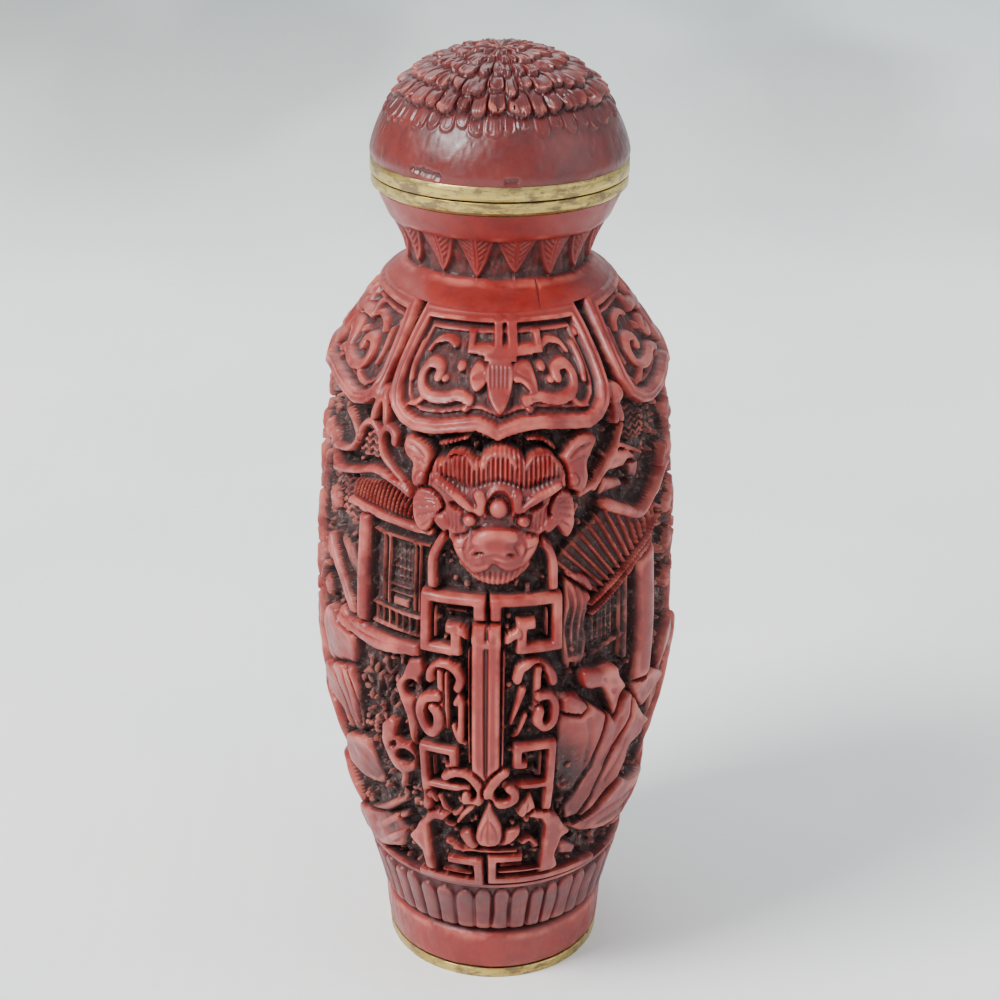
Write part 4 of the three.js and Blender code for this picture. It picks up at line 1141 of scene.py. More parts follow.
# %% [markdown]
# The neck, the foot band and the lid are carved the same way, on sheets of their own. The neck has a
# row of pointed petals with veins, under a plain band that meets the brass. The foot is plain, a little
# bowed, and dented by hand work. Loose petals would have to be fitted to the neck one by one, so they
# are carved as a pattern that repeats round it.

# %% Neck petals
NECK_COLUMNS = 608
PETALS = 16
PETAL_GROUND = -0.75
FRILL = 61.8
PETAL_TOP = 65.4


def neck_sheet():
    rows = even_heights(COLLAR, RIM_BOTTOM, 0.15)
    neck = Sheet(rows, angles_round(NECK_COLUMNS, FRONT_SHARE), PETAL_GROUND)
    w = neck.band()
    w.put(w.get() + 0.12 * uneven(w.true_t, w.z, 0.7, 40))
    wavy = 0.12 * uneven(w.true_t, w.z * 0, 4, 41)
    lay(w, np.minimum(w.z - COLLAR + 0.5, FRILL + wavy - w.z), 0.0, drop=0.3, edge=0.6)
    pitch = 360 / PETALS
    lean = 1.6 * uneven(w.true_t, w.z * 0, 6, 42)
    petal = (w.t + lean + 2) / pitch
    number = np.floor(petal)
    across = np.abs(petal - number - 0.5) * 2
    tip = 62.15 + 0.25 * np.cos(number * 2.4)
    share = np.clip((w.z - tip) / (PETAL_TOP - tip), 0, 1)
    inside = (0.05 + 0.93 * share**0.7 - across) * pitch / 2 * w.scale * 0.8
    lay(w, inside, -0.12 - 0.25 * across, drop=0.3, edge=0.3)
    cut(w, inside - 0.3, 0.16, 0.2, mask=soften(inside / 0.1))
    feather = np.abs(((w.z - 61.5 - across * 1.5) / 0.46) % 1 - 0.5) * 0.46
    cut(w, feather, 0.2, 0.2, mask=soften((inside - 0.32) / 0.08) * soften((across - 0.1) / 0.06))
    cut(w, across * pitch / 2 * w.scale, 0.12, 0.22, mask=soften((inside - 0.3) / 0.2))
    lay(w, w.z - 65.35 - wavy, 0.0, drop=0.25, edge=0.4)
    crack = np.abs(w.t - 22 - 0.8 * uneven(w.true_t, w.z, 0.9, 43)) * w.scale
    cut(w, crack, 0.3, 0.14, mask=(w.z < FRILL) * 1.0)
    neck.relief = worn(neck.relief)
    return neck


neck = neck_sheet()
print("neck sheet:", neck.relief.shape, "with", PETALS, "petals")

# %% Foot band
FOOT_MIDDLE = 2.7
FOOT_GROOVE = 4.35


def foot_sheet():
    rows = even_heights(FOOT_TOP, FOOT_LINE, 0.2)
    foot = Sheet(rows, angles_round(NECK_COLUMNS, FRONT_SHARE), 0.0)
    w = foot.band()
    bow = 0.16 * (1 - ((w.z - FOOT_MIDDLE) / 1.9) ** 2)
    dents = 0.05 * uneven(w.true_t, w.z, 2.2, 51) + 0.025 * uneven(w.true_t, w.z, 0.7, 52)
    w.put(bow + dents - 0.1)
    cut(w, w.z - FOOT_GROOVE, 0.12, 0.3)
    sink(w, w.z - 4.5, -0.7, wall=0.2)
    sink(w, FOOT_TOP + 0.12 - w.z, -0.35, wall=0.15)
    return foot


foot = foot_sheet()
print("foot sheet:", foot.relief.shape)

# %% [markdown]
# The lid is a dome with a smooth band at the brass and rows of overlapping tongues above it, like
# shingles of hair. Its sheet runs up the dome's own curve, so a row on it is a distance from the rim.

# %% Lid tongues
LID_COLUMNS = 600
DOME = np.array([
    (LID_RADIUS - 0.05, LID_BOTTOM), (10.82, 71.2), (10.52, 72.4), (9.95, 73.8), (9.2, 75.1), (8.15, 76.4),
    (6.6, 77.7), (4.6, 78.7), (2.4, 79.3), (0.0, LID_TOP - 0.5),
])
dome_line = curve(DOME, parts=10)
dome_run = np.concatenate([[0], np.cumsum(np.hypot(*np.diff(dome_line, axis=0).T))])


def dome_at(run):
    radius = np.interp(run, dome_run, dome_line[:, 0])
    height = np.interp(run, dome_run, dome_line[:, 1])
    ahead = np.clip(run + 0.3, 0, dome_run[-1])
    behind = np.clip(run - 0.3, 0, dome_run[-1])
    dr = np.interp(ahead, dome_run, dome_line[:, 0]) - np.interp(behind, dome_run, dome_line[:, 0])
    dz = np.interp(ahead, dome_run, dome_line[:, 1]) - np.interp(behind, dome_run, dome_line[:, 1])
    size = np.hypot(dr, dz)
    return radius, height, dz / size, -dr / size


class DomeSheet(Sheet):
    def across(self, true_t, run):
        return dome_at(run)[0] + 0.02


# distance from the rim, count, how far they stand out, moat
TONGUE_ROWS = ((4.1, 43, 0.2, 0.5), (5.9, 35, 0.62, 1.6), (7.9, 30, 0.55, 1.5), (9.8, 23, 0.5, 1.4),
               (11.6, 17, 0.46, 1.3), (13.2, 11, 0.42, 1.2), (14.6, 6, 0.4, 1.2))


LID_ROWS = 104
TONGUE_LENGTH = 2.4
TIP_ROUND = 1.1
PLAIN_BAND = 3.2
CHIPS = (((-33, 0.62), 1.5, 0.34, -6, 0.12, 0.5, 97, -0.32), ((6, 0.45), 0.85, 0.2, 0, 0.1, 0.4, 98, -0.2))


def lid_sheet():
    lid = DomeSheet(np.linspace(0, dome_run[-1], LID_ROWS), angles_round(LID_COLUMNS, FRONT_SHARE), 0.0)
    w = lid.band()
    w.put(0.05 * uneven(w.true_t, w.z, 2.5, 61) + 0.02 * uneven(w.true_t, w.z, 0.6, 62))
    for number, (start, count, rise, moat) in enumerate(TONGUE_ROWS):
        pitch = 360 / count
        wander = 0.3 * uneven(w.true_t, w.z * 0, 3.5, 70 + number)
        lobe = w.t / pitch + 0.5 * number + wander
        middle = np.abs(lobe - np.floor(lobe) - 0.5) * 2
        seed = np.floor(lobe) % count
        tip = start + 0.22 * np.sin(seed * 2.7 + number) + 0.3 * uneven(w.true_t, w.z * 0, 2.2, 80 + number)
        across = middle * pitch / 2 * w.scale
        half = pitch / 2 * w.scale * 0.93
        ahead = w.z - tip
        round_tip = half - np.hypot(across, np.maximum(half * TIP_ROUND - ahead, 0))
        inside = np.where(ahead < half * TIP_ROUND, round_tip, half - across)
        fade = np.clip(1 - ahead / TONGUE_LENGTH, 0, 1)
        broken = 0.35 + 0.65 * soften(1.1 - 1.9 * uneven(w.true_t, w.z, 1.7, 90 + number) ** 2)
        top = 0.06 + rise * fade * broken
        lay(w, inside, top, drop=0.1, edge=0.25, moat=moat * 0.3, wall=0.16)
        cut(w, inside - 0.3, 0.1, 0.2, mask=fade)
        cut(w, across - 0.1, 0.06, 0.2, mask=fade * soften(inside / 0.4))
    spots = uneven(w.true_t, w.z, 0.8, 95) + 0.6 * uneven(w.true_t, w.z, 0.4, 96)
    sink(w, np.where(w.z > PLAIN_BAND, spots - 0.95, -1), 0.0, wall=0.3)
    for centre, half_wide, half_high, lean, ragged, size, seed, floor in CHIPS:
        chip = in_oval(w, centre, half_wide, half_high,
                       lean=lean) + ragged * uneven(w.true_t, w.z, size, seed)
        sink(w, chip, floor, wall=0.12)
    lid.relief = worn(lid.relief)
    return lid


lid = lid_sheet()
print("lid sheet", lid.relief.shape, "dome run", dome_run[-1].round(1), "mm")

# %% [markdown]
# Rolling the sheet up. A grid from the mesh tools gets its points moved onto the oval wall so that its
# two ends meet, and its last rows are folded back inside to the cavity wall, so each ring is a closed
# band of real thickness. The points that meet are then merged. Two numbers ride with every point for the
# material: how deep it lies, and how much lower it is than its neighbours.

# %% Rolling a sheet into a ring
SHARP = math.radians(60)


def grid_rolled(name, x, y, z, ring=True, numbers=None):
    """A mesh through rows and columns of places. Columns always meet; rows meet when it's a ring."""
    rows, columns = x.shape
    across = rows if ring else rows - 1
    data = bpy.data.meshes.new(name)
    build = bmesh.new()
    bmesh.ops.create_grid(build, x_segments=columns, y_segments=across, size=1)
    build.to_mesh(data)
    build.free()
    flat = np.empty(len(data.vertices) * 3)
    data.vertices.foreach_get("co", flat)
    flat = flat.reshape(-1, 3)
    column = np.rint((flat[:, 0] + 1) / 2 * columns).astype(int) % columns
    row = np.rint((flat[:, 1] + 1) / 2 * across).astype(int) % rows
    place = np.stack([x[row, column], y[row, column], z[row, column]], 1) * MM
    data.vertices.foreach_set("co", place.ravel())
    for label, values in (numbers or {}).items():
        data.attributes.new(label, "FLOAT", "POINT").data.foreach_set("value",
            values[row, column].astype("f"))
    build = bmesh.new()
    build.from_mesh(data)
    rim = [v for v in build.verts if v.is_boundary]
    bmesh.ops.remove_doubles(build, verts=rim, dist=1e-7)
    bmesh.ops.recalc_face_normals(build, faces=build.faces)
    for face in build.faces:
        face.smooth = True
    for edge in build.edges:
        edge.smooth = edge.calc_face_angle(0) < SHARP or len(edge.link_faces) < 2
    build.to_mesh(data)
    build.free()
    return data


def report_mesh(data):
    build = bmesh.new()
    build.from_mesh(data)
    open_edges = sum(1 for edge in build.edges if len(edge.link_faces) != 2)
    volume = build.calc_volume(signed=True) * 1e9
    triangles = sum(len(face.verts) - 2 for face in build.faces)
    build.free()
    print(f"{data.name}: {triangles} triangles, {open_edges} open edges, {volume:.0f} cubic mm")


def piece(name, data, node):
    obj = bpy.data.objects.new(name, data)
    bpy.context.scene.collection.objects.link(obj)
    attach(obj, "root")
    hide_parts(node)
    report_mesh(data)
    return obj


# %% Body rings
INNER_WALL = -3.9
INNER_ROWS = 5
RING_NAMES = ("flute_ring", "lower_wall", "middle_wall", "mask_wall", "shoulder")


def depth_numbers(relief):
    """How deep each point lies and how far below its surroundings, both from 0 to 1."""
    near = blur(relief, 2, 2) - relief
    wide = blur(relief, 6, 6) - relief
    return {
        "deep": np.clip((0.15 - relief) / 1.5, 0, 1),
        "sunk": np.clip(0.5 + near * 1.8 + wide * 0.5, 0, 1),
    }


def on_wall(angle, z, out):
    half_width, half_depth = oval(z)
    return (half_width + out) * np.sin(angle), -(half_depth + out) * np.cos(angle), z + 0 * angle


def wall_ring(name, source, low, high):
    """One closed ring of the wall between two heights of a sheet."""
    numbers = depth_numbers(source.relief)
    pick = np.flatnonzero((source.z >= low - 1e-6) & (source.z <= high + 1e-6))
    inner_z = np.linspace(high, low, INNER_ROWS)
    z = np.concatenate([source.z[pick], inner_z])[:, None]
    out = np.vstack([source.relief[pick], np.full((INNER_ROWS, source.columns), INNER_WALL)])
    angle = np.radians(source.angles)[None, :]
    x, y, z = on_wall(angle, z, out)
    hidden = np.ones((INNER_ROWS, source.columns))
    numbers = {label: np.vstack([values[pick], hidden]) for label, values in numbers.items()}
    return grid_rolled(name, x, y, z, numbers=numbers)


body_rings = []
spans = [(name, sheet, low, high) for name, low, high in zip(RING_NAMES, SEAMS, SEAMS[1:])]
spans += [("neck", neck, COLLAR, RIM_BOTTOM), ("foot_band", foot, FOOT_TOP, FOOT_LINE)]
for name, source, low, high in spans:
    body_rings.append(piece(name, wall_ring(name, source, low, high), "carved_body"))


# %% Bottle floor
def floor_plate():
    """The bottom of the bottle, a solid oval plate let into the foot."""
    build = bmesh.new()
    bmesh.ops.create_circle(build, cap_ends=True, segments=96, radius=1)
    half_width, half_depth = (float(v[0]) for v in oval(np.array([2.0])))
    size = Vector(((half_width + INNER_WALL + 0.1) * MM, (half_depth + INNER_WALL + 0.1) * MM, 1))
    bmesh.ops.scale(build, vec=size, verts=build.verts)
    bmesh.ops.translate(build, vec=Vector((0, 0, (FOOT_TOP + 0.3) * MM)), verts=build.verts)
    made = bmesh.ops.extrude_face_region(build, geom=list(build.faces))
    top = [item for item in made["geom"] if isinstance(item, bmesh.types.BMVert)]
    bmesh.ops.translate(build, vec=Vector((0, 0, (FOOT_LINE + 0.2 - FOOT_TOP) * MM)), verts=top)
    bmesh.ops.recalc_face_normals(build, faces=build.faces)
    data = bpy.data.meshes.new("floor")
    build.to_mesh(data)
    build.free()
    return data


body_rings.append(piece("floor", floor_plate(), "carved_body"))

# %% [markdown]
# The neck's inner wall follows the bore, so the mouth stays open. The three brass rims are turned rings
# with softened corners; the one at the foot is oval. The lid's rim carries the plug that drops into the
# mouth.

# %% Brass rims and plug
RIM_COLUMNS = 192
MOUTH_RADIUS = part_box("mouth_rim")[1][0] / MM
MOUTH_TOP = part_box("mouth_rim")[1][2] / MM
LID_RIM_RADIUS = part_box("lid_rim")[1][0] / MM
PLUG_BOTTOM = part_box("lid_rim")[0][2] / MM
FOOT_HALF = [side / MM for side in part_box("foot_rim")[1][:2]]


def turned(name, section, stretch=(1, 1), ring=True, dents=0.02, seed=0):
    section = np.asarray(section, float)
    angle = np.radians(np.arange(RIM_COLUMNS) * 360 / RIM_COLUMNS)[None, :]
    radius = section[:, :1] + 0 * angle
    t = np.degrees(angle) + 0 * radius
    ripple = dents * uneven(t - 180, section[:, 1:] + 0 * t, 1.7, seed) * (radius > 1)
    x = (radius * stretch[0] + ripple) * np.sin(angle)
    y = -(radius * stretch[1] + ripple) * np.cos(angle)
    return grid_rolled(name, x, y, section[:, 1:] + 0 * t, ring=ring)


def soft_corners(section, radius=0.12, parts=3):
    """Cuts every corner of a closed section into a small arc."""
    section = np.asarray(section, float)
    made = []
    for before, corner, after in zip(np.roll(section, 1, 0), section, np.roll(section, -1, 0)):
        def towards(other):
            gap = np.linalg.norm(other - corner)
            return corner + (other - corner) * min(radius / gap, 0.4)

        first, last = towards(before), towards(after)
        for s in np.linspace(0, 1, parts + 1):
            made.append((1 - s) ** 2 * first + 2 * s * (1 - s) * corner + s**2 * last)
    return np.array(made)


BORE = 4.4
RIM_GAP = 0.14
foot_ratio = FOOT_HALF[1] / FOOT_HALF[0]
foot_section = soft_corners([(FOOT_HALF[0] - 0.1, 0), (FOOT_HALF[0], FOOT_TOP), (7.1, FOOT_TOP), (7.1, 0)])
mouth_section = soft_corners([(BORE, RIM_BOTTOM), (10.3, RIM_BOTTOM), (MOUTH_RADIUS, RIM_BOTTOM + 0.35),
                              (MOUTH_RADIUS, MOUTH_TOP), (BORE, MOUTH_TOP)], radius=0.07)
foot_rim = piece("foot_rim", turned("foot_rim", foot_section, (1, foot_ratio), seed=101), "foot_rim")
mouth_rim = piece("mouth_rim", turned("mouth_rim", mouth_section, seed=102), "mouth_rim")


def lid_rim_section():
    seat = LID_RIM_RADIUS - 1.6
    corners = [(3.6, PLUG_BOTTOM), (3.95, PLUG_BOTTOM + 0.35), (3.95, MOUTH_TOP), (seat, MOUTH_TOP),
               (seat, MOUTH_TOP + RIM_GAP), (LID_RIM_RADIUS - 0.06, MOUTH_TOP + RIM_GAP),
               (LID_RIM_RADIUS, MOUTH_TOP + RIM_GAP + 0.06), (LID_RIM_RADIUS, LID_BOTTOM - 0.1),
               (LID_RIM_RADIUS - 0.1, LID_BOTTOM)]
    return [(0, PLUG_BOTTOM)] + corners + [(0, LID_BOTTOM)]


lid_rim = piece("lid_rim", turned("lid_rim", lid_rim_section(), ring=False, seed=103), "lid_rim")


# %% Lid dome
def lid_dome():
    radius, height, out_r, out_z = dome_at(lid.z)
    angle = np.radians(lid.angles)[None, :]
    relief = lid.relief * np.clip(radius / 1.2, 0, 1)[:, None]
    relief[0] = 0
    r = radius[:, None] + relief * out_r[:, None]
    z = height[:, None] + relief * out_z[:, None]
    r[-1], z[-1] = 0, z[-1].mean()
    numbers = depth_numbers(lid.relief - 0.1)
    # Only the tongues above the plain band get the near-black dirt and painted shade in their hollows.
    numbers["deep"] = np.clip((0.12 - lid.relief) / 0.5, 0, 1) * soften((lid.z[:, None] - 3) / 0.6 + 0 * r)
    floor_z = np.full((2, LID_COLUMNS), LID_BOTTOM)
    floor_r = np.vstack([np.zeros(LID_COLUMNS), np.full(LID_COLUMNS, LID_RADIUS - 0.4)])
    r, z = np.vstack([floor_r, r]), np.vstack([floor_z, z])
    numbers = {label: np.vstack([np.ones((2, LID_COLUMNS)), values]) for label, values in numbers.items()}
    return grid_rolled("lid_dome", r * np.sin(angle), -r * np.cos(angle), z, ring=False, numbers=numbers)


dome_piece = piece("lid_dome", lid_dome(), "lid_dome")

# %% [markdown]
# The lacquer is cinnabar red, worn to a soft gloss on the high parts and duller below. Old brown dirt
# and pale dust have settled in the carving, and its hollows are darkened further with painted shade, so
# the colour follows the two depth numbers and a few sizes of noise. The flute band low on the body is
# coloured darker. The brass is brushed along its ring and has brown stains, which are duller than the
# metal.

# %% Material tools
def node_tools(name):
    material = bpy.data.materials.new(name)
    material.use_nodes = True
    tree = material.node_tree
    shader = tree.nodes["Principled BSDF"]

    def add(kind, **settings):
        node = tree.nodes.new(kind)
        for key, value in settings.items():
            setattr(node, key, value)
        return node

    def join(source, target):
        tree.links.new(source, target)

    def noise(size_mm, detail=4, rough=0.6, squash=(1, 1, 1)):
        place = add("ShaderNodeTexCoord")
        scaled = add("ShaderNodeMapping")
        scaled.inputs["Scale"].default_value = squash
        join(place.outputs["Object"], scaled.inputs["Vector"])
        node = add("ShaderNodeTexNoise")
        node.inputs["Scale"].default_value = 1 / (size_mm * MM)
        node.inputs["Detail"].default_value = detail
        node.inputs["Roughness"].default_value = rough
        join(scaled.outputs["Vector"], node.inputs["Vector"])
        return node.outputs["Fac"]

    def between(value, low, high, to_low=0.0, to_high=1.0):
        node = add("ShaderNodeMapRange", clamp=True)
        for label, number in (("From Min", low), ("From Max", high), ("To Min", to_low),
                              ("To Max", to_high)):
            node.inputs[label].default_value = number
        join(value, node.inputs["Value"])
        return node.outputs["Result"]

    def math_of(kind, first, second):
        node = add("ShaderNodeMath", operation=kind, use_clamp=kind != "SUBTRACT")
        for slot_number, value in enumerate((first, second)):
            if isinstance(value, (int, float)):
                node.inputs[slot_number].default_value = value
            else:
                join(value, node.inputs[slot_number])
        return node.outputs["Value"]

    def mixed(share, first, second):
        node = add("ShaderNodeMix", data_type="RGBA")
        join(share, node.inputs["Factor"])
        for label, value in (("A", first), ("B", second)):
            socket = [s for s in node.inputs if s.name == label and s.type == "RGBA"][0]
            if isinstance(value, tuple):
                socket.default_value = (*value, 1)
            else:
                join(value, socket)
        return [s for s in node.outputs if s.type == "RGBA"][0]

    def number(label):
        return add("ShaderNodeAttribute", attribute_name=label).outputs["Fac"]

    def bump(value, distance_mm, strength=1.0, under=None):
        node = add("ShaderNodeBump")
        node.inputs["Distance"].default_value = distance_mm * MM
        node.inputs["Strength"].default_value = strength
        join(value, node.inputs["Height"])
        if under is not None:
            join(under, node.inputs["Normal"])
        return node.outputs["Normal"]

    return dict(material=material, shader=shader, add=add, join=join, noise=noise, between=between,
                math_of=math_of, mixed=mixed, number=number, bump=bump)


def srgb(red, green, blue):
    """A colour given as 0 to 255 screen values, as the linear numbers the shader wants."""
    def linear(value):
        value /= 255
        return value / 12.92 if value <= 0.04045 else ((value + 0.055) / 1.055) ** 2.4

    return linear(red), linear(green), linear(blue)


# %% Lacquer
# Brown dirt film, and painted shade, for the hollows of the carving
DIRT_AND_SHADE_FILM = srgb(62, 20, 22)
# Near-black dirt and painted shade for the deepest ground
DARK_DIRT_AND_SHADE = srgb(38, 17, 18)
DUST = srgb(158, 122, 112)
RUBBED = srgb(214, 116, 100)
# A darker red for the flute band low on the body
LOW_BAND_DARK = srgb(70, 26, 32)


def lacquer(name, main, bright, dull, rough_low, rough_high, dust_amount):
    k = node_tools(name)
    between, mixed, noise, math_of = k["between"], k["mixed"], k["noise"], k["math_of"]
    patches = between(noise(9, 3), 0.38, 0.62)
    colour = mixed(patches, main, bright)
    mottle = between(noise(2.2, 5, 0.7), 0.42, 0.68)
    colour = mixed(math_of("MULTIPLY", mottle, 0.45), colour, dull)
    deep, sunk = k["number"]("deep"), k["number"]("sunk")
    # Dirt and painted shade: the colour darkens where a point lies lower than its neighbours.
    dirt_and_shade_film = between(sunk, 0.5, 0.85)
    colour = mixed(math_of("MULTIPLY", dirt_and_shade_film, 0.85), colour, DIRT_AND_SHADE_FILM)
    # Dirt and painted shade: the deepest ground goes near black, patchy with noise.
    dark = between(deep, 0.28, 0.72)
    uneven_dark = math_of("MULTIPLY", dark, between(noise(1.1, 4, 0.7), 0.25, 0.5, 0.55, 1))
    colour = mixed(uneven_dark, colour, DARK_DIRT_AND_SHADE)
    specks = between(noise(0.55, 5, 0.75), 0.53, 0.66)
    dusty = math_of("MULTIPLY", specks, between(deep, 0.3, 0.85))
    colour = mixed(math_of("MULTIPLY", dusty, dust_amount), colour, DUST)
    edge_wear = between(sunk, 0.36, 0.2)
    worn_edge = math_of("MULTIPLY", edge_wear, between(noise(3, 3), 0.4, 0.62))
    colour = mixed(math_of("MULTIPLY", worn_edge, 0.4), colour, RUBBED)
    # The flute band low on the body, from about 5 to 13 mm up, is coloured darker.
    place = k["add"]("ShaderNodeTexCoord")
    height = k["add"]("ShaderNodeSeparateXYZ")
    k["join"](place.outputs["Object"], height.inputs["Vector"])
    low_down = between(height.outputs["Z"], 0.013, 0.009)
    above_foot = between(height.outputs["Z"], 0.0045, 0.0052)
    fluted = math_of("MULTIPLY", low_down, above_foot)
    low_band_darkening = math_of("MULTIPLY", fluted, between(noise(2.4, 4), 0.3, 0.65, 0.35, 0.85))
    colour = mixed(low_band_darkening, colour, LOW_BAND_DARK)
    k["join"](colour, k["shader"].inputs["Base Color"])
    polish = between(noise(1.4, 5, 0.7), 0.35, 0.65, rough_low, rough_high)
    roughness = math_of("ADD", polish, between(deep, 0.2, 0.7, 0, 0.35))
    k["join"](roughness, k["shader"].inputs["Roughness"])
    k["shader"].inputs["Coat Weight"].default_value = 0.12
    k["shader"].inputs["Coat Roughness"].default_value = 0.25
    fine = k["bump"](noise(0.35, 5, 0.65), 0.03, 0.55)
    k["join"](k["bump"](noise(2.6, 3), 0.12, 0.5, under=fine), k["shader"].inputs["Normal"])
    return k["material"]


red_lacquer = lacquer("carved red lacquer", srgb(124, 25, 21), srgb(134, 35, 28), srgb(80, 20, 23), 0.38,
                      0.58, 0.36)
lid_lacquer = lacquer("lid lacquer", srgb(84, 17, 17), srgb(104, 26, 21), srgb(48, 17, 20), 0.26, 0.46, 0.4)
print("finishes:", red_lacquer.name, "and", lid_lacquer.name)


# %% Brass
BRIGHT_BRASS = srgb(205, 184, 110)
DULL_BRASS = srgb(170, 146, 82)
STAIN = srgb(84, 60, 44)


def brass():
    k = node_tools("worn brass")
    between, mixed, noise, math_of = k["between"], k["mixed"], k["noise"], k["math_of"]
    brushed = between(noise(1.2, 4, 0.6, squash=(0.25, 0.25, 5)), 0.35, 0.65)
    colour = mixed(brushed, BRIGHT_BRASS, DULL_BRASS)
    stains = between(noise(1.3, 6, 0.75, squash=(0.6, 0.6, 1.6)), 0.47, 0.58)
    colour = mixed(math_of("MULTIPLY", stains, 0.8), colour, STAIN)
    k["join"](colour, k["shader"].inputs["Base Color"])
    k["join"](between(stains, 0, 1, 1, 0.35), k["shader"].inputs["Metallic"])
    k["join"](between(noise(0.8, 4), 0.35, 0.65, 0.3, 0.5), k["shader"].inputs["Roughness"])
    k["join"](k["bump"](brushed, 0.02, 0.5), k["shader"].inputs["Normal"])
    return k["material"]


worn_brass = brass()
for obj in body_rings:
    obj.data.materials.append(red_lacquer)
dome_piece.data.materials.append(lid_lacquer)
for obj in (foot_rim, mouth_rim, lid_rim):
    obj.data.materials.append(worn_brass)
print("materials on", len(body_rings) + 4, "pieces")

# %% [markdown]
# The bottle stands on pale cotton sheeting in soft light: a big bright window high on the left, weaker
# light from the right and from behind, and a pale room all round, so no shadow is hard. The cloth is a
# plane with a fine weave that curves up behind the bottle, so no edge shows where floor turns to wall.
# Where it rises, the cloth is painted grey as shade, darker to the left, with painted shade in its folds.

# %% Cloth
BACK_EDGE = 0.24
CLOTH_FRONT = -0.7
CLOTH_LENGTH = 1.7
CLOTH_HALF_WIDTH = 1.6
CURL = 1.4
THREAD = 0.5
WAVES_IN_BAND = 20


def cloth_material():
    k = node_tools("pale cotton")
    between, mixed, noise = k["between"], k["mixed"], k["noise"]
    place = k["add"]("ShaderNodeTexCoord")
    split = k["add"]("ShaderNodeSeparateXYZ")
    k["join"](place.outputs["Object"], split.inputs["Vector"])
    floor_colour = mixed(between(noise(60, 2), 0.35, 0.65), srgb(238, 240, 240), srgb(248, 248, 247))
    # Painted shade: where the cloth rises behind the bottle it is grey, darker to the left.
    left_to_right = between(split.outputs["X"], -0.12, 0.1)
    shaded_wall_colour = mixed(left_to_right, srgb(150, 156, 152), srgb(196, 204, 206))
    # Painted shade in the folds of the rising cloth.
    fold_shade = between(noise(46, 2, 0.4, squash=(1, 0.4, 2.2)), 0.42, 0.6)
    shaded_wall_colour = mixed(k["math_of"]("MULTIPLY", fold_shade, 0.55), shaded_wall_colour, srgb(112, 118, 118))
    colour = mixed(between(split.outputs["Y"], BACK_EDGE - 0.05, BACK_EDGE + 0.06), floor_colour,
                   shaded_wall_colour)
    k["join"](colour, k["shader"].inputs["Base Color"])
    k["shader"].inputs["Roughness"].default_value = 0.9
    threads = []
    for direction in ("X", "Y"):
        wave = k["add"]("ShaderNodeTexWave", bands_direction=direction)
        wave.inputs["Scale"].default_value = 1 / (THREAD * MM) / WAVES_IN_BAND
        wave.inputs["Distortion"].default_value = 1.2
        k["join"](place.outputs["Object"], wave.inputs["Vector"])
        threads.append(wave.outputs["Fac"])
    weave = k["math_of"]("MULTIPLY", *threads)
    soft_folds = k["bump"](noise(70, 2, 0.4), 4, 0.3)
    k["join"](k["bump"](weave, 0.06, 0.5, under=soft_folds), k["shader"].inputs["Normal"])
    return k["material"]


def cloth():
    build = bmesh.new()
    bmesh.ops.create_grid(build, x_segments=8, y_segments=80, size=1)
    for v in build.verts:
        run = (v.co.y + 1) / 2
        y = CLOTH_FRONT + CLOTH_LENGTH * run
        rise = max(0, y - BACK_EDGE)
        v.co = Vector((v.co.x * CLOTH_HALF_WIDTH, y, CURL * rise**CURL))
    data = bpy.data.meshes.new("cloth")
    build.to_mesh(data)
    build.free()
    obj = bpy.data.objects.new("cloth", data)
    bpy.context.scene.collection.objects.link(obj)
    data.materials.append(cloth_material())
    for polygon in data.polygons:
        polygon.use_smooth = True
    return obj


cloth()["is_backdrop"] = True
print("cloth", round(CLOTH_HALF_WIDTH * 2, 1), "m wide, curving up from", BACK_EDGE, "m behind the bottle")


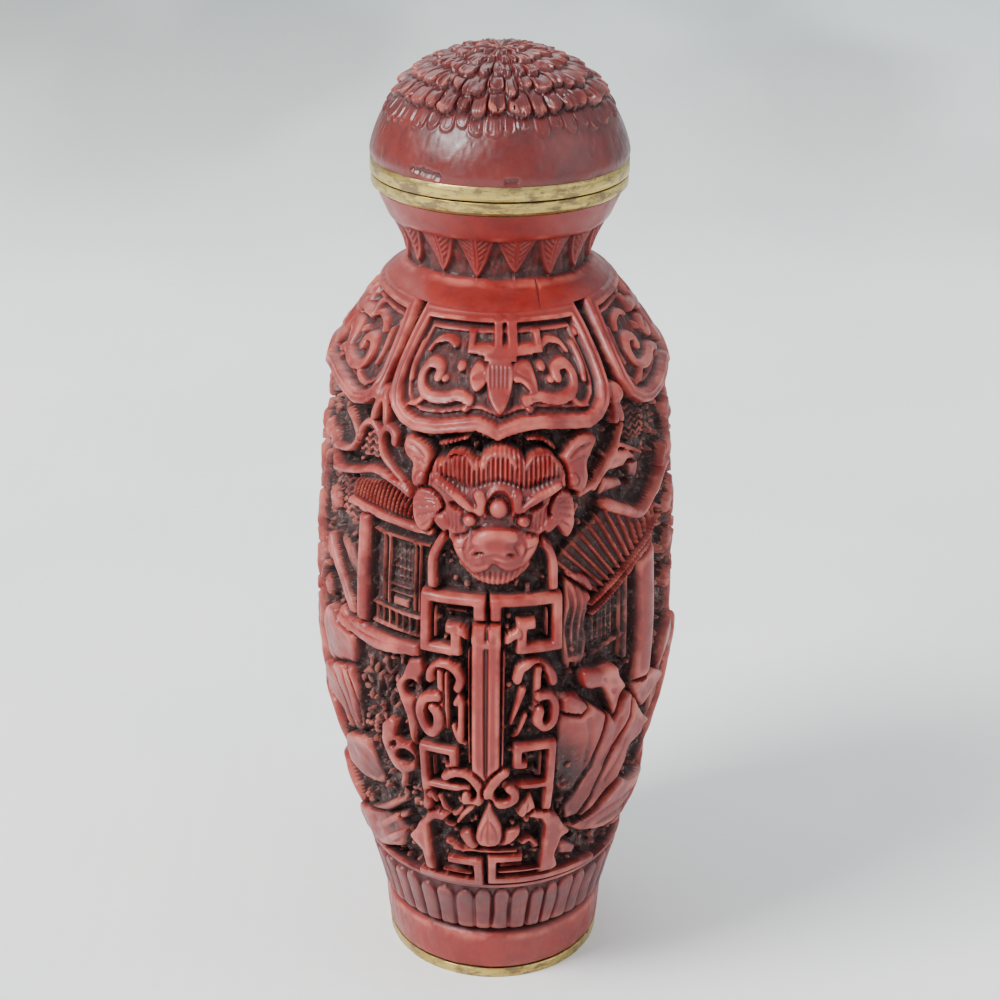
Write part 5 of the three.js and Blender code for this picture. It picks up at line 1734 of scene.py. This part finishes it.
# %% Light
# name, place, height it aims at, size, power, colour
LIGHTS = (
    ("window", (-0.42, -0.3, 0.5), 0.04, 0.3, 8.0, (1.0, 0.99, 0.97)),
    ("side wall", (0.5, -0.2, 0.3), 0.04, 0.5, 0.9, (0.95, 0.97, 1.0)),
    ("from behind", (-0.1, 0.5, 0.5), 0.05, 0.5, 2.2, (1, 1, 1)),
)
ROOM_COLOUR = (0.86, 0.9, 0.93, 1)
ROOM_STRENGTH = 0.9


def area_light(name, place, aim_height, size, power, colour):
    lamp = bpy.data.lights.new(name, "AREA")
    lamp.energy, lamp.size, lamp.color = power, size, colour
    obj = bpy.data.objects.new(name, lamp)
    bpy.context.scene.collection.objects.link(obj)
    obj.location = Vector(place)
    obj.rotation_euler = (Vector((0, 0, aim_height)) - obj.location).to_track_quat("-Z", "Y").to_euler()


for light in LIGHTS:
    area_light(*light)
world = bpy.data.worlds.new("room")
bpy.context.scene.world = world
world.use_nodes = True
world.node_tree.nodes["Background"].inputs["Color"].default_value = ROOM_COLOUR
world.node_tree.nodes["Background"].inputs["Strength"].default_value = ROOM_STRENGTH
print("lights:", [light[0] for light in LIGHTS])

# %% [markdown]
# The camera is a long lens that looks down on the bottle from in front and leans a little. The lean is
# a turn about the camera's own axis, so the two turns are multiplied as matrices in that order. Three
# Euler angles typed in by hand would mix the lean with the tilt.

# %% Camera
LENS, SENSOR = 129.6, 36
SHIFT = 0.0032
NEAREST = 0.01
AWAY, ABOVE = 290.8, 147.19
LOOKS_DOWN, LEANS = 20.28, 0.52

camera_data = bpy.data.cameras.new("camera")
camera_data.lens, camera_data.sensor_width = LENS, SENSOR
camera_data.shift_x = SHIFT
camera_data.clip_start = NEAREST
camera = bpy.data.objects.new("camera", camera_data)
bpy.context.scene.collection.objects.link(camera)
camera.location = (0, -AWAY * MM, ABOVE * MM)
pitch = Matrix.Rotation(math.radians(90 - LOOKS_DOWN), 3, "X")
roll_right = Matrix.Rotation(math.radians(LEANS), 3, "Z")
camera.rotation_euler = (pitch @ roll_right).to_euler()
bpy.context.scene.camera = camera
print("camera", AWAY, "mm in front and", ABOVE, "mm up")

# %% Finish
low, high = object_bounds()
print("size", [round(b - a, 4) for a, b in zip(low, high)])
